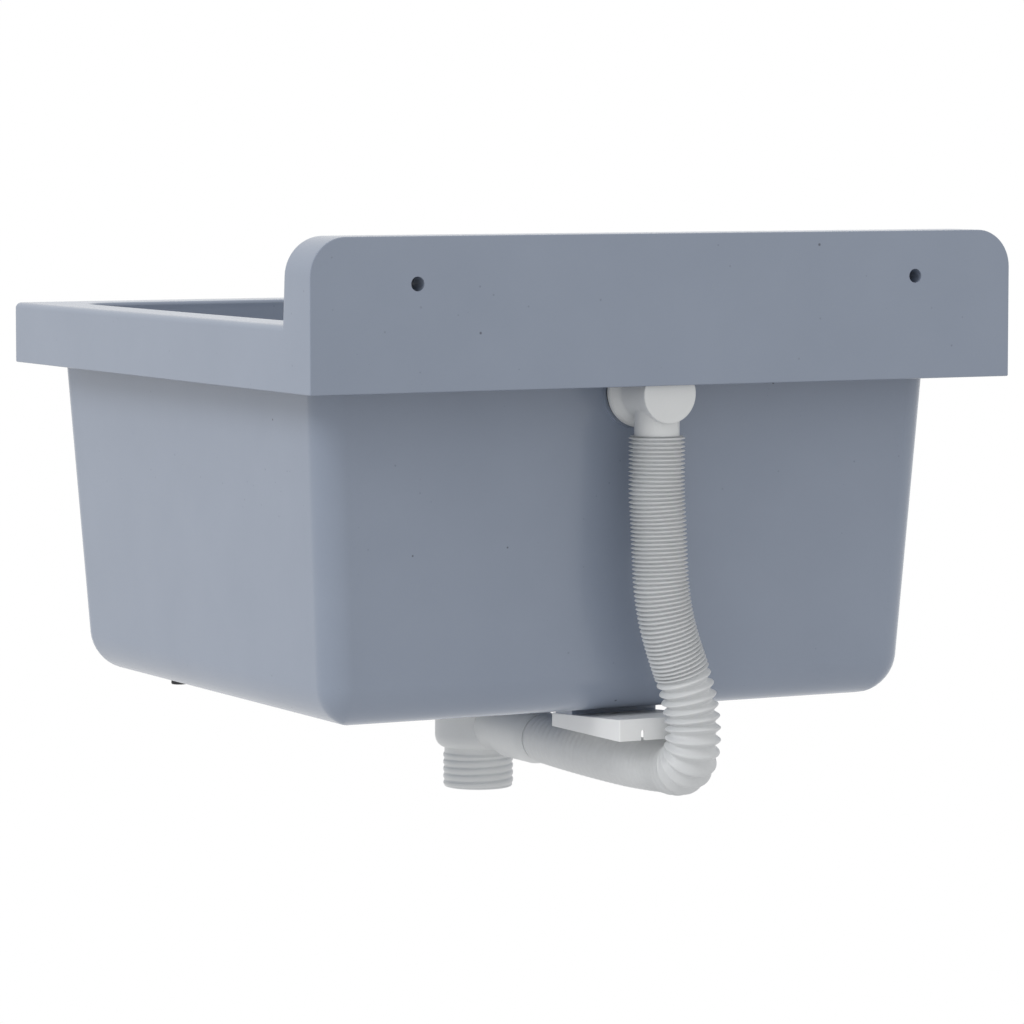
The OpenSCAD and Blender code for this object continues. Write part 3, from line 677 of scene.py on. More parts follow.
@dataclass(frozen=True)
class ResinFinish:
    """Blue-grey cast resin with a satin skin, faint clouds and sparse dark and pale specks."""

    ground: Colour = (0.292, 0.337, 0.424)
    shade: Colour = (0.268, 0.312, 0.396)
    dark: Colour = (0.085, 0.095, 0.12)
    pale: Colour = (0.62, 0.66, 0.72)

    def build(self, library: GroupLibrary) -> bpy.types.Material:
        """Makes the material.

        Args:
            library: the shared groups.

        Returns:
            The material.
        """
        sheet = MaterialSheet.begin("Cast resin", library)
        clouds = sheet.math("MULTIPLY", sheet.clouds(16.0, 5.0, 0.9), 0.85)
        grain = sheet.math("MULTIPLY", sheet.clouds(620.0, 2.0, 1.0), 0.15)
        colour = sheet.blend(sheet.math("ADD", clouds, grain), self.shade, self.ground)
        colour = sheet.specked(colour, 0.08, self.pale, cells=120.0, share=0.16, size=0.075)
        colour = sheet.specked(colour, 0.3, self.dark, cells=120.0, share=0.30, size=0.10)
        colour = sheet.specked(colour, 0.8, self.dark, cells=46.0, share=0.34, size=0.055)
        sheet.surface(colour, 0.22, 0.02, 9.0)
        sheet.skin(900.0, 55.0, 1.2, strength=0.035, distance=0.0004)
        sheet.shader.inputs["IOR"].default_value = 1.5
        return sheet.material


@dataclass(frozen=True)
class PlasticFinish:
    """Pale moulded plastic with a fine grain and faint unevenness."""

    name: str
    ground: Colour = (0.76, 0.775, 0.78)
    shade: Colour = (0.71, 0.725, 0.73)
    roughness: float = 0.38
    grain: float = 1600.0

    def build(self, library: GroupLibrary) -> bpy.types.Material:
        """Makes the material.

        Args:
            library: the shared groups.

        Returns:
            The material.
        """
        sheet = MaterialSheet.begin(self.name, library)
        clouds = sheet.math("MULTIPLY", sheet.clouds(45.0, 3.0, 0.8), 0.7)
        grain = sheet.math("MULTIPLY", sheet.clouds(900.0, 1.0, 0.7), 0.3)
        colour = sheet.blend(sheet.math("ADD", clouds, grain), self.shade, self.ground)
        sheet.surface(colour, self.roughness, 0.05, 30.0)
        sheet.skin(self.grain, 110.0, 0.8, strength=0.1, distance=0.0003)
        sheet.shader.inputs["IOR"].default_value = 1.49
        return sheet.material


@dataclass(frozen=True)
class MetalFinish:
    """Satin metal with turning lines round the drain's upright axis."""

    name: str
    ground: Colour = (0.70, 0.71, 0.72)
    shade: Colour = (0.58, 0.59, 0.61)
    roughness: float = 0.24

    def build(self, library: GroupLibrary) -> bpy.types.Material:
        """Makes the material.

        Args:
            library: the shared groups.

        Returns:
            The material.
        """
        sheet = MaterialSheet.begin(self.name, library)
        colour = sheet.blend(sheet.clouds(70.0, 4.0, 1.0), self.shade, self.ground)
        sheet.surface(colour, self.roughness, 0.06, 60.0)
        centred = sheet.add("ShaderNodeMapping")
        sheet.put(sheet.place, centred.inputs["Vector"])
        centred.inputs["Location"].default_value = (0.0, -DRAIN_Y, 0.0)
        rings = sheet.add("ShaderNodeTexWave", wave_type="RINGS", rings_direction="Z")
        values = {"Vector": centred.outputs[0], "Scale": 520.0, "Distortion": 1.5, "Detail": 2.0}
        for key, value in values.items():
            sheet.put(value, rings.inputs[key])
        sheet.bump(rings.outputs["Fac"], 0.08, 0.0001)
        sheet.shader.inputs["Metallic"].default_value = 1.0
        return sheet.material


@dataclass(frozen=True)
class RubberFinish:
    """Black rubber with a matt bloom."""

    ground: Colour = (0.022, 0.022, 0.024)
    bloom: Colour = (0.060, 0.061, 0.064)

    def build(self, library: GroupLibrary) -> bpy.types.Material:
        """Makes the material.

        Args:
            library: the shared groups.

        Returns:
            The material.
        """
        sheet = MaterialSheet.begin("Black rubber", library)
        colour = sheet.blend(sheet.clouds(90.0, 5.0, 1.4), self.ground, self.bloom)
        sheet.surface(colour, 0.62, 0.08, 40.0)
        sheet.skin(2400.0, 200.0, 0.5, strength=0.25, distance=0.0003)
        return sheet.material


class Finishes:
    """All materials of the sink, by slot."""

    def __init__(self) -> None:
        """Builds each material once."""
        library = GroupLibrary()
        hose = PlasticFinish("Hose plastic", (0.72, 0.735, 0.745), (0.67, 0.685, 0.695), 0.42, 2200.0)
        brass = MetalFinish("Brass", (0.72, 0.56, 0.27), (0.60, 0.45, 0.20), 0.3)
        self.by_slot: dict[Slot, bpy.types.Material] = {
            Slot.RESIN: ResinFinish().build(library),
            Slot.WHITE: PlasticFinish("White plastic").build(library),
            Slot.HOSE: hose.build(library),
            Slot.STEEL: MetalFinish("Satin steel").build(library),
            Slot.BRASS: brass.build(library),
            Slot.RUBBER: RubberFinish().build(library),
        }
        # A lighter copy of the white plastic, used on the wedge: painted light that stands in for the side
        # light falling on it.
        painted_light_white = PlasticFinish("White plastic painted lighter", (0.93, 0.94, 0.94), (0.90, 0.91, 0.915))
        self.painted_light_white = painted_light_white.build(library)

    def dress(self, obj: Obj, name: str, slot: Slot, *nodes: str, body: Body = Body.SINK,
              painted_light_white: bool = False) -> Obj:
        """Names a finished piece, gives it its finish and ties it to the frame.

        Args:
            obj: the piece.
            name: its name.
            slot: the record's slot of its material.
            *nodes: the CAD nodes that it stands for.
            body: the body that it rides on.
            painted_light_white: whether it gets the lighter copy of the white, whose extra lightness is painted
                light for the side light on the wedge.

        Returns:
            The piece.
        """
        obj.name = name
        obj.data.name = name
        obj.data.materials.clear()
        obj.data.materials.append(self.painted_light_white if painted_light_white else self.by_slot[slot])
        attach(obj, body.value)
        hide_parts(*nodes)
        LOG.info("%s: %d faces, rides on %s", name, len(obj.data.polygons), body.value)
        return obj


# --- Basin ---


@dataclass
class Bowl:
    """A deep box that leans in downwards, with round corners and a round bottom edge, over a round land."""

    half_x: float
    front: float
    back: float
    top: float
    level: float
    lean: float
    floor: float
    corner: float
    bottom: float
    land_z: float
    land_r: float = 0.040
    cap_h: float = 0.01
    crisp: float = 0.0005
    corner_steps: int = 8
    bottom_steps: int = 10

    def build(self, name: str) -> Obj:
        """Models the solid.

        Args:
            name: the object's name.

        Returns:
            The closed solid. Its half width and its front and back are those at its level.
        """
        middle = (self.front + self.back) / 2
        half_y = (self.back - self.front) / 2
        rise = self.lean * (self.top - self.level)
        obj = block(name, (-self.half_x - rise, middle - half_y - rise, self.top - self.cap_h),
                    (self.half_x + rise, middle + half_y + rise, self.top))
        with editing(obj) as bm:
            pick_edges(bm, lambda a, b: abs(a.z - b.z) > self.cap_h / 2)
            bevel(self.corner, self.corner_steps)
        with editing(obj, "FACE") as bm:
            pick_faces(bm, lambda c, n: n.z < -0.9)
            z, radius = self.top - self.cap_h, self.corner
            size_x, size_y = self.half_x + rise, half_y + rise
            for step_z, inset in self.steps():
                shrink = self.lean * (self.level - step_z)
                next_x, next_y = self.half_x - shrink - inset, half_y - shrink - inset
                next_radius = max(self.corner - inset, self.crisp)
                bpy.ops.mesh.extrude_region_move(TRANSFORM_OT_translate={"value": (0, 0, step_z - z)})
                for vert in (v for v in bmesh.from_edit_mesh(obj.data).verts if v.select):
                    x, y = vert.co.x, vert.co.y - middle
                    reach = Vector((abs(x) - size_x + radius, abs(y) - size_y + radius))
                    arm = reach.normalized() * next_radius
                    vert.co.x = math.copysign(next_x - next_radius + arm.x, x)
                    vert.co.y = middle + math.copysign(next_y - next_radius + arm.y, y)
                z, size_x, size_y, radius = step_z, next_x, next_y, next_radius
            bpy.ops.mesh.delete(type="ONLY_FACE")
        self.close(obj)
        clean(obj)
        return obj

    def steps(self) -> list[tuple[float, float]]:
        """Levels and insets of the rings down the wall and round the bottom edge.

        Returns:
            Height and inset of each ring.
        """
        start = self.floor + self.bottom
        walls = [(self.level + (start - self.level) * k / 3, 0.0) for k in range(4)]
        arc = [(self.floor + self.bottom * (1 - math.sin(a)), self.bottom * (1 - math.cos(a)))
               for a in quarter(self.bottom_steps)]
        return walls + arc

    def close(self, obj: Obj) -> None:
        """Bridges the lowest ring to the round land and fills it.

        Args:
            obj: the open solid.
        """
        deselect_all()
        bpy.ops.mesh.primitive_circle_add(
            vertices=4 * (self.corner_steps + 1), radius=self.land_r, fill_type="NGON",
            location=(0, DRAIN_Y, self.land_z), rotation=(0, 0, math.pi / 4))
        join(obj, settle("land"))
        with editing(obj) as bm:
            for level in (self.floor, self.land_z):
                pick_edges(bm, lambda a, b: abs(a.z - level) < TINY and abs(b.z - level) < TINY)
            bpy.ops.mesh.bridge_edge_loops()


@dataclass
class Basin:
    """The moulding: rim with its skirt and hollow, backsplash, bowl and its seats."""

    width: float = 0.500
    depth: float = 0.480
    skirt_z: float = -0.066
    rim_z: float = -0.025
    top_z: float = 0.029
    plate_t: float = 0.0375
    plate_root_t: float = 0.0415
    plate_corner: float = 0.024
    edge: float = 0.004
    rim_corner: float = 0.005
    crisp: float = 0.0009
    mouth: float = 0.0025
    lean: float = 13.0 / 212.0
    bowl_z: float = -0.278
    floor_t: float = 0.0085
    under_z: float = -0.287
    bolt_x: float = 0.178
    bolt_r: float = 0.0045
    seat_y: float = -0.046537
    cover_y: float = -0.055037
    screw_z: float = -0.290

    def build(self, finishes: Finishes) -> Obj:
        """Models and dresses the basin.

        Args:
            finishes: the materials.

        Returns:
            The finished basin.
        """
        obj = self.rim_and_backsplash()
        combine(obj, self.hollow(), "DIFFERENCE")
        combine(obj, self.outside(), "UNION")
        for pad in self.pads():
            combine(obj, pad, "UNION")
        combine(obj, self.inside(), "DIFFERENCE")
        self.round_mouth(obj)
        for hole in self.holes():
            combine(obj, hole, "DIFFERENCE")
        clean(obj)
        shade(obj, 34.0)
        return finishes.dress(obj, "Moulded_basin", Slot.RESIN, "basin")

    def rim_and_backsplash(self) -> Obj:
        """Models the rim block, with the backsplash drawn up from its back and all outer edges rounded.

        Returns:
            The solid.
        """
        half, top, front, root = self.width / 2, self.top_z - TINY, -self.depth, -self.plate_root_t
        rise = self.top_z - self.rim_z
        obj = block("rim", (-half, front, self.skirt_z), (half, 0, self.rim_z))
        with editing(obj):
            bpy.ops.mesh.select_all(action="SELECT")
            bpy.ops.mesh.bisect(plane_co=(0, root, 0), plane_no=(0, 1, 0))
        with editing(obj, "FACE") as bm:
            pick_faces(bm, lambda c, n: n.z > 0.9 and c.y > root)
            bpy.ops.mesh.extrude_region_move(TRANSFORM_OT_translate={"value": (0, 0, rise)})
        with editing(obj) as bm:
            pick_edges(bm, lambda a, b: min(a.z, b.z) > top and max(a.y, b.y) < root + TINY)
            bpy.ops.transform.translate(value=(0, self.plate_root_t - self.plate_t, 0))
        rounds = (
            (lambda a, b: abs(a.y - b.y) > 0.02 and min(a.z, b.z) > top, self.plate_corner, 14),
            (lambda a, b: abs(a.z - b.z) > 0.02 and max(a.y, b.y) < front + TINY, self.rim_corner, 6),
            (self.is_soft_edge, self.edge, 5),
            (self.is_crisp_edge, self.crisp, 2))
        for test, radius, steps in rounds:
            with editing(obj) as bm:
                pick_edges(bm, test)
                bevel(radius, steps)
        clean(obj)
        return obj

    def is_soft_edge(self, a: Vector, b: Vector) -> bool:
        """Whether an edge belongs to the rim's upper outline, the backsplash's front outline or its root.

        Args:
            a: one end.
            b: the other end.

        Returns:
            True for an edge that gets the wide rounding.
        """
        flat = abs(a.z - self.rim_z) < TINY and abs(b.z - self.rim_z) < TINY
        if flat and max(a.y, b.y) < -self.plate_root_t + TINY:
            at_side = min(abs(a.x), abs(b.x)) > self.width / 2 - self.rim_corner - TINY
            at_front = max(a.y, b.y) < -self.depth + TINY
            at_root = min(a.y, b.y) > -self.plate_root_t - TINY
            return at_side or at_front or at_root
        high = min(a.z, b.z) > self.rim_z - TINY
        return high and max(a.y, b.y) < -self.plate_t + TINY and abs(a.y - b.y) < 0.02

    def is_crisp_edge(self, a: Vector, b: Vector) -> bool:
        """Whether an edge lies on the outline of the back face or of the skirt's lower face.

        Args:
            a: one end.
            b: the other end.

        Returns:
            True for an edge that gets the narrow rounding.
        """
        half = self.width / 2
        low = max(a.z, b.z) < self.skirt_z + TINY
        rear = min(a.y, b.y) > -TINY
        side = min(abs(a.x), abs(b.x)) > half - TINY and a.x * b.x > 0
        front = max(a.y, b.y) < -self.depth + self.rim_corner + TINY
        if low:
            return rear or side or front
        within = abs(a.x) < half - self.plate_corner - TINY and a.z < self.top_z - TINY
        return rear and abs(a.x - b.x) + abs(a.z - b.z) > TINY and not within

    def hollow(self) -> Obj:
        """Models the hollow under the deck, at the sides and the back.

        Returns:
            The cutter.
        """
        side, front, rear, deck = 0.008, -0.433, -0.00325, 0.009
        obj = block("hollow", (-self.width / 2 + side, front, self.skirt_z - 0.01),
                    (self.width / 2 - side, rear, self.rim_z - deck))
        with editing(obj) as bm:
            pick_edges(bm, lambda a, b: min(a.z, b.z) > self.rim_z - 0.010 or abs(a.z - b.z) > 0.02)
            bevel(0.002, 3)
        return obj

    def outside(self) -> Obj:
        """Models the bowl's outer form.

        Returns:
            The solid.
        """
        return Bowl(half_x=0.222, front=-0.467, back=-0.048, top=self.rim_z - 0.002, level=self.skirt_z,
                    lean=self.lean, floor=self.bowl_z, corner=0.018, bottom=0.026,
                    land_z=self.under_z).build("bowl outside")

    def inside(self) -> Obj:
        """Models the bowl's cavity.

        Returns:
            The cutter.
        """
        return Bowl(half_x=0.2135, front=-0.441, back=-0.0565, top=self.rim_z + 0.004, level=self.skirt_z,
                    lean=self.lean, floor=self.bowl_z + self.floor_t, corner=0.026, bottom=0.022,
                    land_z=self.under_z + self.floor_t).build("bowl inside")

    def pads(self) -> list[Obj]:
        """Models the seats of the feet, of the wedge and of the overflow.

        Returns:
            The solids.
        """
        disc, boss_disc = [(0.006, -0.281), (0.006, -0.2755)], [(0.0238, 0.0), (0.0238, -0.0036)]
        seats = [turned(f"foot seat {side}", disc, (side * FOOT_X, FOOT_Y, 0)) for side in (-1, 1)]
        boss = turned("overflow seat", boss_disc, (0, self.seat_y, OVERFLOW_Z), Axis.WALL)
        wedge = block("wedge seat", (-0.0455, -0.124, -0.2835), (0.0165, -0.102, -0.2745))
        with editing(wedge, "VERT") as bm:
            for vert in bm.verts:
                if vert.co.z < -0.28:
                    vert.co.z = WEDGE_TOP_Z - WEDGE_FALL / WEDGE_LENGTH * (WEDGE_REAR_Y - vert.co.y)
        return [*seats, boss, wedge]

    def round_mouth(self, obj: Obj) -> None:
        """Rounds the edge between the deck and the cavity.

        Args:
            obj: the basin.
        """
        side, front, rear = 0.220, -0.446, -0.052

        def on_mouth(p: Vector) -> bool:
            """Whether a point lies on the deck, at the mouth."""
            return abs(p.z - self.rim_z) < TINY and abs(p.x) < side and front < p.y < rear

        with editing(obj) as bm:
            pick_edges(bm, lambda a, b: on_mouth(a) and on_mouth(b))
            bevel(self.mouth, 6)

    def holes(self) -> list[Obj]:
        """Models the cutters of the bolt holes, the drain, the overflow and the screws.

        Returns:
            The cutters.
        """
        past = 0.004
        cutters = []
        for side in (-1, 1):
            cutters.append(rod(f"bolt hole {side}", (side * self.bolt_x, -self.plate_root_t - past, 0),
                               self.plate_root_t + 2 * past, self.bolt_r, Axis.WALL))
            cutters.append(rod(f"foot screw hole {side}", (side * FOOT_X, FOOT_Y, self.screw_z), 0.0145, 0.0016,
                               sides=24))
        drain = [(0.027, self.under_z - 0.01), (0.027, -0.2815), (0.0355, -0.2815), (0.0355, -0.2791),
                 (0.0363, -0.2784), (0.0363, -0.26)]
        cutters.append(turned("drain", drain, (0, DRAIN_Y, 0)))
        hole_at, cover_at = (0, self.cover_y - 0.001, OVERFLOW_Z), (0, self.cover_y, OVERFLOW_Z)
        cover = [(0.024, 0.0), (0.024, -0.0036), (0.0248, -0.0060)]
        cutters.append(rod("overflow hole", hole_at, 0.0105, 0.0145, Axis.WALL))
        cutters.append(turned("cover seat", cover, cover_at, Axis.WALL))
        cutters.append(rod("wedge screw hole", (*WEDGE_SCREW, -0.292), 0.016, 0.00205, sides=24))
        return cutters


# --- Overflow and hose ---


@dataclass
class OverflowElbow:
    """The elbow behind the bowl: flange, cone, barrel, spigot and nose, with its end cap."""

    gasket_y: float = -0.044537
    end_y: float = -0.00875
    cap_y: float = -0.00375
    cap_r: float = 0.0185
    flange_r: float = 0.0228
    barrel_r: float = 0.0175
    bore_r: float = 0.0150
    spigot_r: float = 0.01425
    nose_r: float = 0.0122
    nose_len: float = 0.018

    def build(self, finishes: Finishes) -> None:
        """Models and dresses the elbow and its cap.

        Args:
            finishes: the materials.
        """
        finishes.dress(self.elbow(), "Overflow_elbow", Slot.WHITE, "overflow_body")
        finishes.dress(self.cap(), "Overflow_end_cap", Slot.WHITE, "overflow_cap")

    def elbow(self) -> Obj:
        """Models the elbow, hollow from the bowl to the spigot.

        Returns:
            The piece.
        """
        length = self.end_y - self.gasket_y
        flange, barrel, nose = self.flange_r, self.barrel_r, self.nose_r
        obj = turned(
            "elbow",
            rounded_profile([(flange - 0.0005, 0, 0), (flange, 0.0005, 0), (flange, 0.0035, 0.0009),
                             (flange - 0.0013, 0.0037, 0.0006), (barrel, 0.0080, 0.0022),
                             (barrel, length - 0.0004, 0), (barrel - 0.0003, length, 0)]),
            (0, self.gasket_y, OVERFLOW_Z), Axis.WALL)
        down = OVERFLOW_Z - SPIGOT_Z
        tip = -down - self.nose_len
        spigot = turned(
            "spigot",
            rounded_profile([(nose - 0.0006, tip, 0), (nose, tip + 0.001, 0), (nose, -down, 0.0002),
                             (self.spigot_r, -down, 0.0007), (self.spigot_r, 0.002, 0)]),
            (0, SPIGOT_Y, OVERFLOW_Z))
        combine(obj, spigot, "UNION")
        self.fillet_neck(obj)
        bore = rod("barrel bore", (0, self.gasket_y - 0.001, OVERFLOW_Z), length + 0.002, self.bore_r,
                   Axis.WALL)
        combine(obj, bore, "DIFFERENCE")
        way = rod("spigot bore", (0, SPIGOT_Y, SPIGOT_Z - self.nose_len - 0.001),
                  down + self.nose_len - 0.002, nose - 0.0017)
        combine(obj, way, "DIFFERENCE")
        clean(obj)
        shade(obj, 38.0)
        return obj

    def fillet_neck(self, obj: Obj) -> None:
        """Rounds the crease between the barrel and the spigot.

        Args:
            obj: the elbow.
        """
        def on_crease(p: Vector) -> bool:
            """Whether a point lies on both skins, below the axis."""
            on_spigot = abs(math.hypot(p.x, p.y - SPIGOT_Y) - self.spigot_r) < 4e-5
            on_barrel = abs(math.hypot(p.x, p.z - OVERFLOW_Z) - self.barrel_r) < 4e-5
            return on_spigot and on_barrel and p.z < OVERFLOW_Z - 0.002

        with editing(obj) as bm:
            pick_edges(bm, lambda a, b: on_crease(a) and on_crease(b))
            bevel(0.0009, 3)

    def cap(self) -> Obj:
        """Models the flat end cap with its rounded edge and the lip inside the barrel.

        Returns:
            The piece.
        """
        thick, bore, rim = self.cap_y - self.end_y, self.bore_r, self.cap_r
        obj = turned(
            "cap",
            rounded_profile([(bore - 0.0025, -0.005, 0), (bore - 0.0004, -0.005, 0),
                             (bore - 0.0001, -0.0045, 0), (bore - 0.0001, 0.0, 0), (rim, 0.0, 0.0005),
                             (rim, thick, 0.0007), (rim - 0.004, thick, 0),
                             (rim - 0.0045, thick - 0.0002, 0)]),
            (0, self.end_y, OVERFLOW_Z), Axis.WALL)
        shade(obj, 38.0)
        return obj


class Rib(Enum):
    """How the hose's ribs stand, as place along the rib and lift, both from 0 to 1."""

    CLOSE = ((0.10, 0.0), (0.26, 0.55), (0.40, 0.92), (0.5, 1.0), (0.60, 0.92), (0.74, 0.55), (0.90, 0.0))
    STRETCHED = ((0.04, 0.0), (0.16, 0.18), (0.34, 0.70), (0.44, 0.95), (0.5, 1.0), (0.56, 0.95),
                 (0.66, 0.70), (0.84, 0.18), (0.96, 0.0))
    SHALLOW = ((0.1, 0.0), (0.3, 0.6), (0.5, 1.0), (0.7, 0.6), (0.9, 0.0))


@dataclass
class RibbedHose:
    """The overflow's hose: a round ribbed tube on the route that the solid follows, with its bore."""

    crest: float = 0.0179
    shallow_crest: float = 0.0167
    trough: float = 0.0151
    rib_ease: float = 0.0006
    bore: float = 0.0136
    close_pitch: float = 0.00265
    wide_pitch: float = 0.0065
    shallow_pitch: float = 0.0045
    wide_share: float = 0.385
    run_share: float = 0.566
    plain: float = 0.035
    bend_h: float = 0.049
    bend_y: float = 0.033
    sides: int = 40
    hang: tuple[tuple[float, float, float], ...] = (
        (0, 0, 0), (0, 0, 0.1), (0, 0, 0.22), (-0.001, 0.0003, 0.34), (-0.0018, 0.0008, 0.47),
        (-0.003, 0.0013, 0.59), (-0.0063, 0.0018, 0.71), (-0.0117, 0.0021, 0.82), (-0.0173, 0.0022, 0.91),
        (-0.022, 0.0022, 1))
    bend: tuple[tuple[float, float, float], ...] = (
        (-0.025, 0, 0.034), (-0.0255, 0, 0.021), (-0.0255, 0.0028, 0.0105), (-0.0255, 0.0105, 0.0028),
        (-0.0255, 0.021, 0))
    run: tuple[tuple[float, float, float], ...] = (
        (-0.0245, 0.0056, 0), (-0.022, 0.0067, 0.11), (-0.018, 0.0065, 0.23), (-0.013, 0.0052, 0.36),
        (-0.0075, 0.0034, 0.5), (-0.0025, 0.0014, 0.63), (0, 0, 0.76), (0, 0, 0.88), (0, 0, 1))

    def route(self) -> list[Vector]:
        """The route's chosen points, from the spigot to the waste's inlet.

        Returns:
            The points.
        """
        bend_y, bend_z = SPIGOT_Y + self.hang[-1][1], INLET_Z - self.run[0][1]
        top_z, run_y = bend_z + self.bend_h, bend_y - self.bend_y
        points = [Vector((x, SPIGOT_Y + y, SPIGOT_Z + t * (top_z - SPIGOT_Z))) for x, y, t in self.hang]
        points += [Vector((x, bend_y - y, bend_z + z)) for x, y, z in self.bend]
        points += [Vector((x, run_y + t * (INLET_Y - run_y), INLET_Z - z)) for x, z, t in self.run]
        return points

    def line(self) -> list[Vector]:
        """A smooth curve through the route.

        Returns:
            Points a millimetre or two apart.
        """
        p = self.route()
        smooth = []
        for i in range(len(p) - 1):
            a, b, c, d = p[max(i - 1, 0)], p[i], p[i + 1], p[min(i + 2, len(p) - 1)]
            for k in range(10):
                t = k / 10
                smooth.append(0.5 * (2 * b + (c - a) * t + (2 * a - 5 * b + 4 * c - d) * t * t
                                     + (3 * b - a - 3 * c + d) * t**3))
        return [*smooth, p[-1]]

    def stations(self, length: float) -> Profile:
        """Places along the hose and the outer radius at each.

        Args:
            length: the hose's length.

        Returns:
            Distance from the spigot and radius.
        """
        rows: Profile = [(0.0, self.crest - 0.0012)]
        wide_from, run_from = self.wide_share * length, self.run_share * length
        plain_from = length - self.plain
        for kind, start, stop, pitch in ((Rib.CLOSE, 0.0, wide_from, self.close_pitch),
                                         (Rib.STRETCHED, wide_from, run_from, self.wide_pitch),
                                         (Rib.SHALLOW, run_from, plain_from, self.shallow_pitch)):
            count = round((stop - start) / pitch)
            real = (stop - start) / count
            for i in range(count):
                for t, lift in kind.value:
                    radius = self.radius(kind, lift, (start + real * i) / length)
                    rows.append((start + real * (i + t), radius))
        return rows + [(plain_from + 0.001, self.trough), (length, self.trough)]

    def radius(self, kind: Rib, lift: float, share: float) -> float:
        """The outer radius at a place on a rib.

        Args:
            kind: how the ribs stand.
            lift: 0 in the trough, 1 on the crest.
            share: the rib's place along the hose, from 0 to 1.

        Returns:
            The radius.
        """
        low, crest = self.trough, self.crest
        if kind is Rib.STRETCHED:
            low = self.trough - self.rib_ease
        if kind is Rib.SHALLOW:
            eased = min(1.0, (share - self.run_share) / 0.08)
            crest = self.crest + (self.shallow_crest - self.crest) * eased
            low = self.trough + (self.shallow_crest - self.rib_ease - self.trough) * eased
        return low + (crest - low) * lift

    def build(self, finishes: Finishes) -> None:
        """Args:
            finishes: the materials.
        """
        line = self.line()
        along = [0.0]
        for a, b in zip(line, line[1:]):
            along.append(along[-1] + (b - a).length)
        length = along[-1]

        def at(s: float) -> Vector:
            """The point of the line at a distance from its start."""
            s = min(max(s, 0.0), length)
            i = next((k for k in range(1, len(along)) if along[k] >= s), len(along) - 1)
            t = (s - along[i - 1]) / (along[i] - along[i - 1])
            return line[i - 1].lerp(line[i], t)

        inner_count = round(length / 0.006)
        inner = [(length * (inner_count - k) / inner_count, self.bore) for k in range(inner_count + 1)]
        angles = [2 * math.pi * k / self.sides for k in range(self.sides)]
        near = 0.0012
        mesh = bmesh.new()
        rings = []
        for s, r in self.stations(length) + inner:
            centre, way = at(s), (at(s + near) - at(s - near)).normalized()
            side = (Vector((1, 0, 0)) - way * way.x).normalized()
            up = way.cross(side)
            rings.append([mesh.verts.new(centre + r * (math.cos(a) * side + math.sin(a) * up))
                          for a in angles])
        for one, two in zip(rings, rings[1:] + rings[:1]):
            for k in range(self.sides):
                j = (k + 1) % self.sides
                mesh.faces.new((one[k], one[j], two[j], two[k]))
        data = bpy.data.meshes.new("hose")
        bmesh.ops.recalc_face_normals(mesh, faces=mesh.faces)
        mesh.to_mesh(data)
        mesh.free()
        obj = bpy.data.objects.new("hose", data)
        bpy.context.scene.collection.objects.link(obj)
        shade(obj, 60.0, weighted=False)
        finishes.dress(obj, "Overflow_hose", Slot.HOSE, "overflow_hose")


# --- Waste, strainer and supports ---


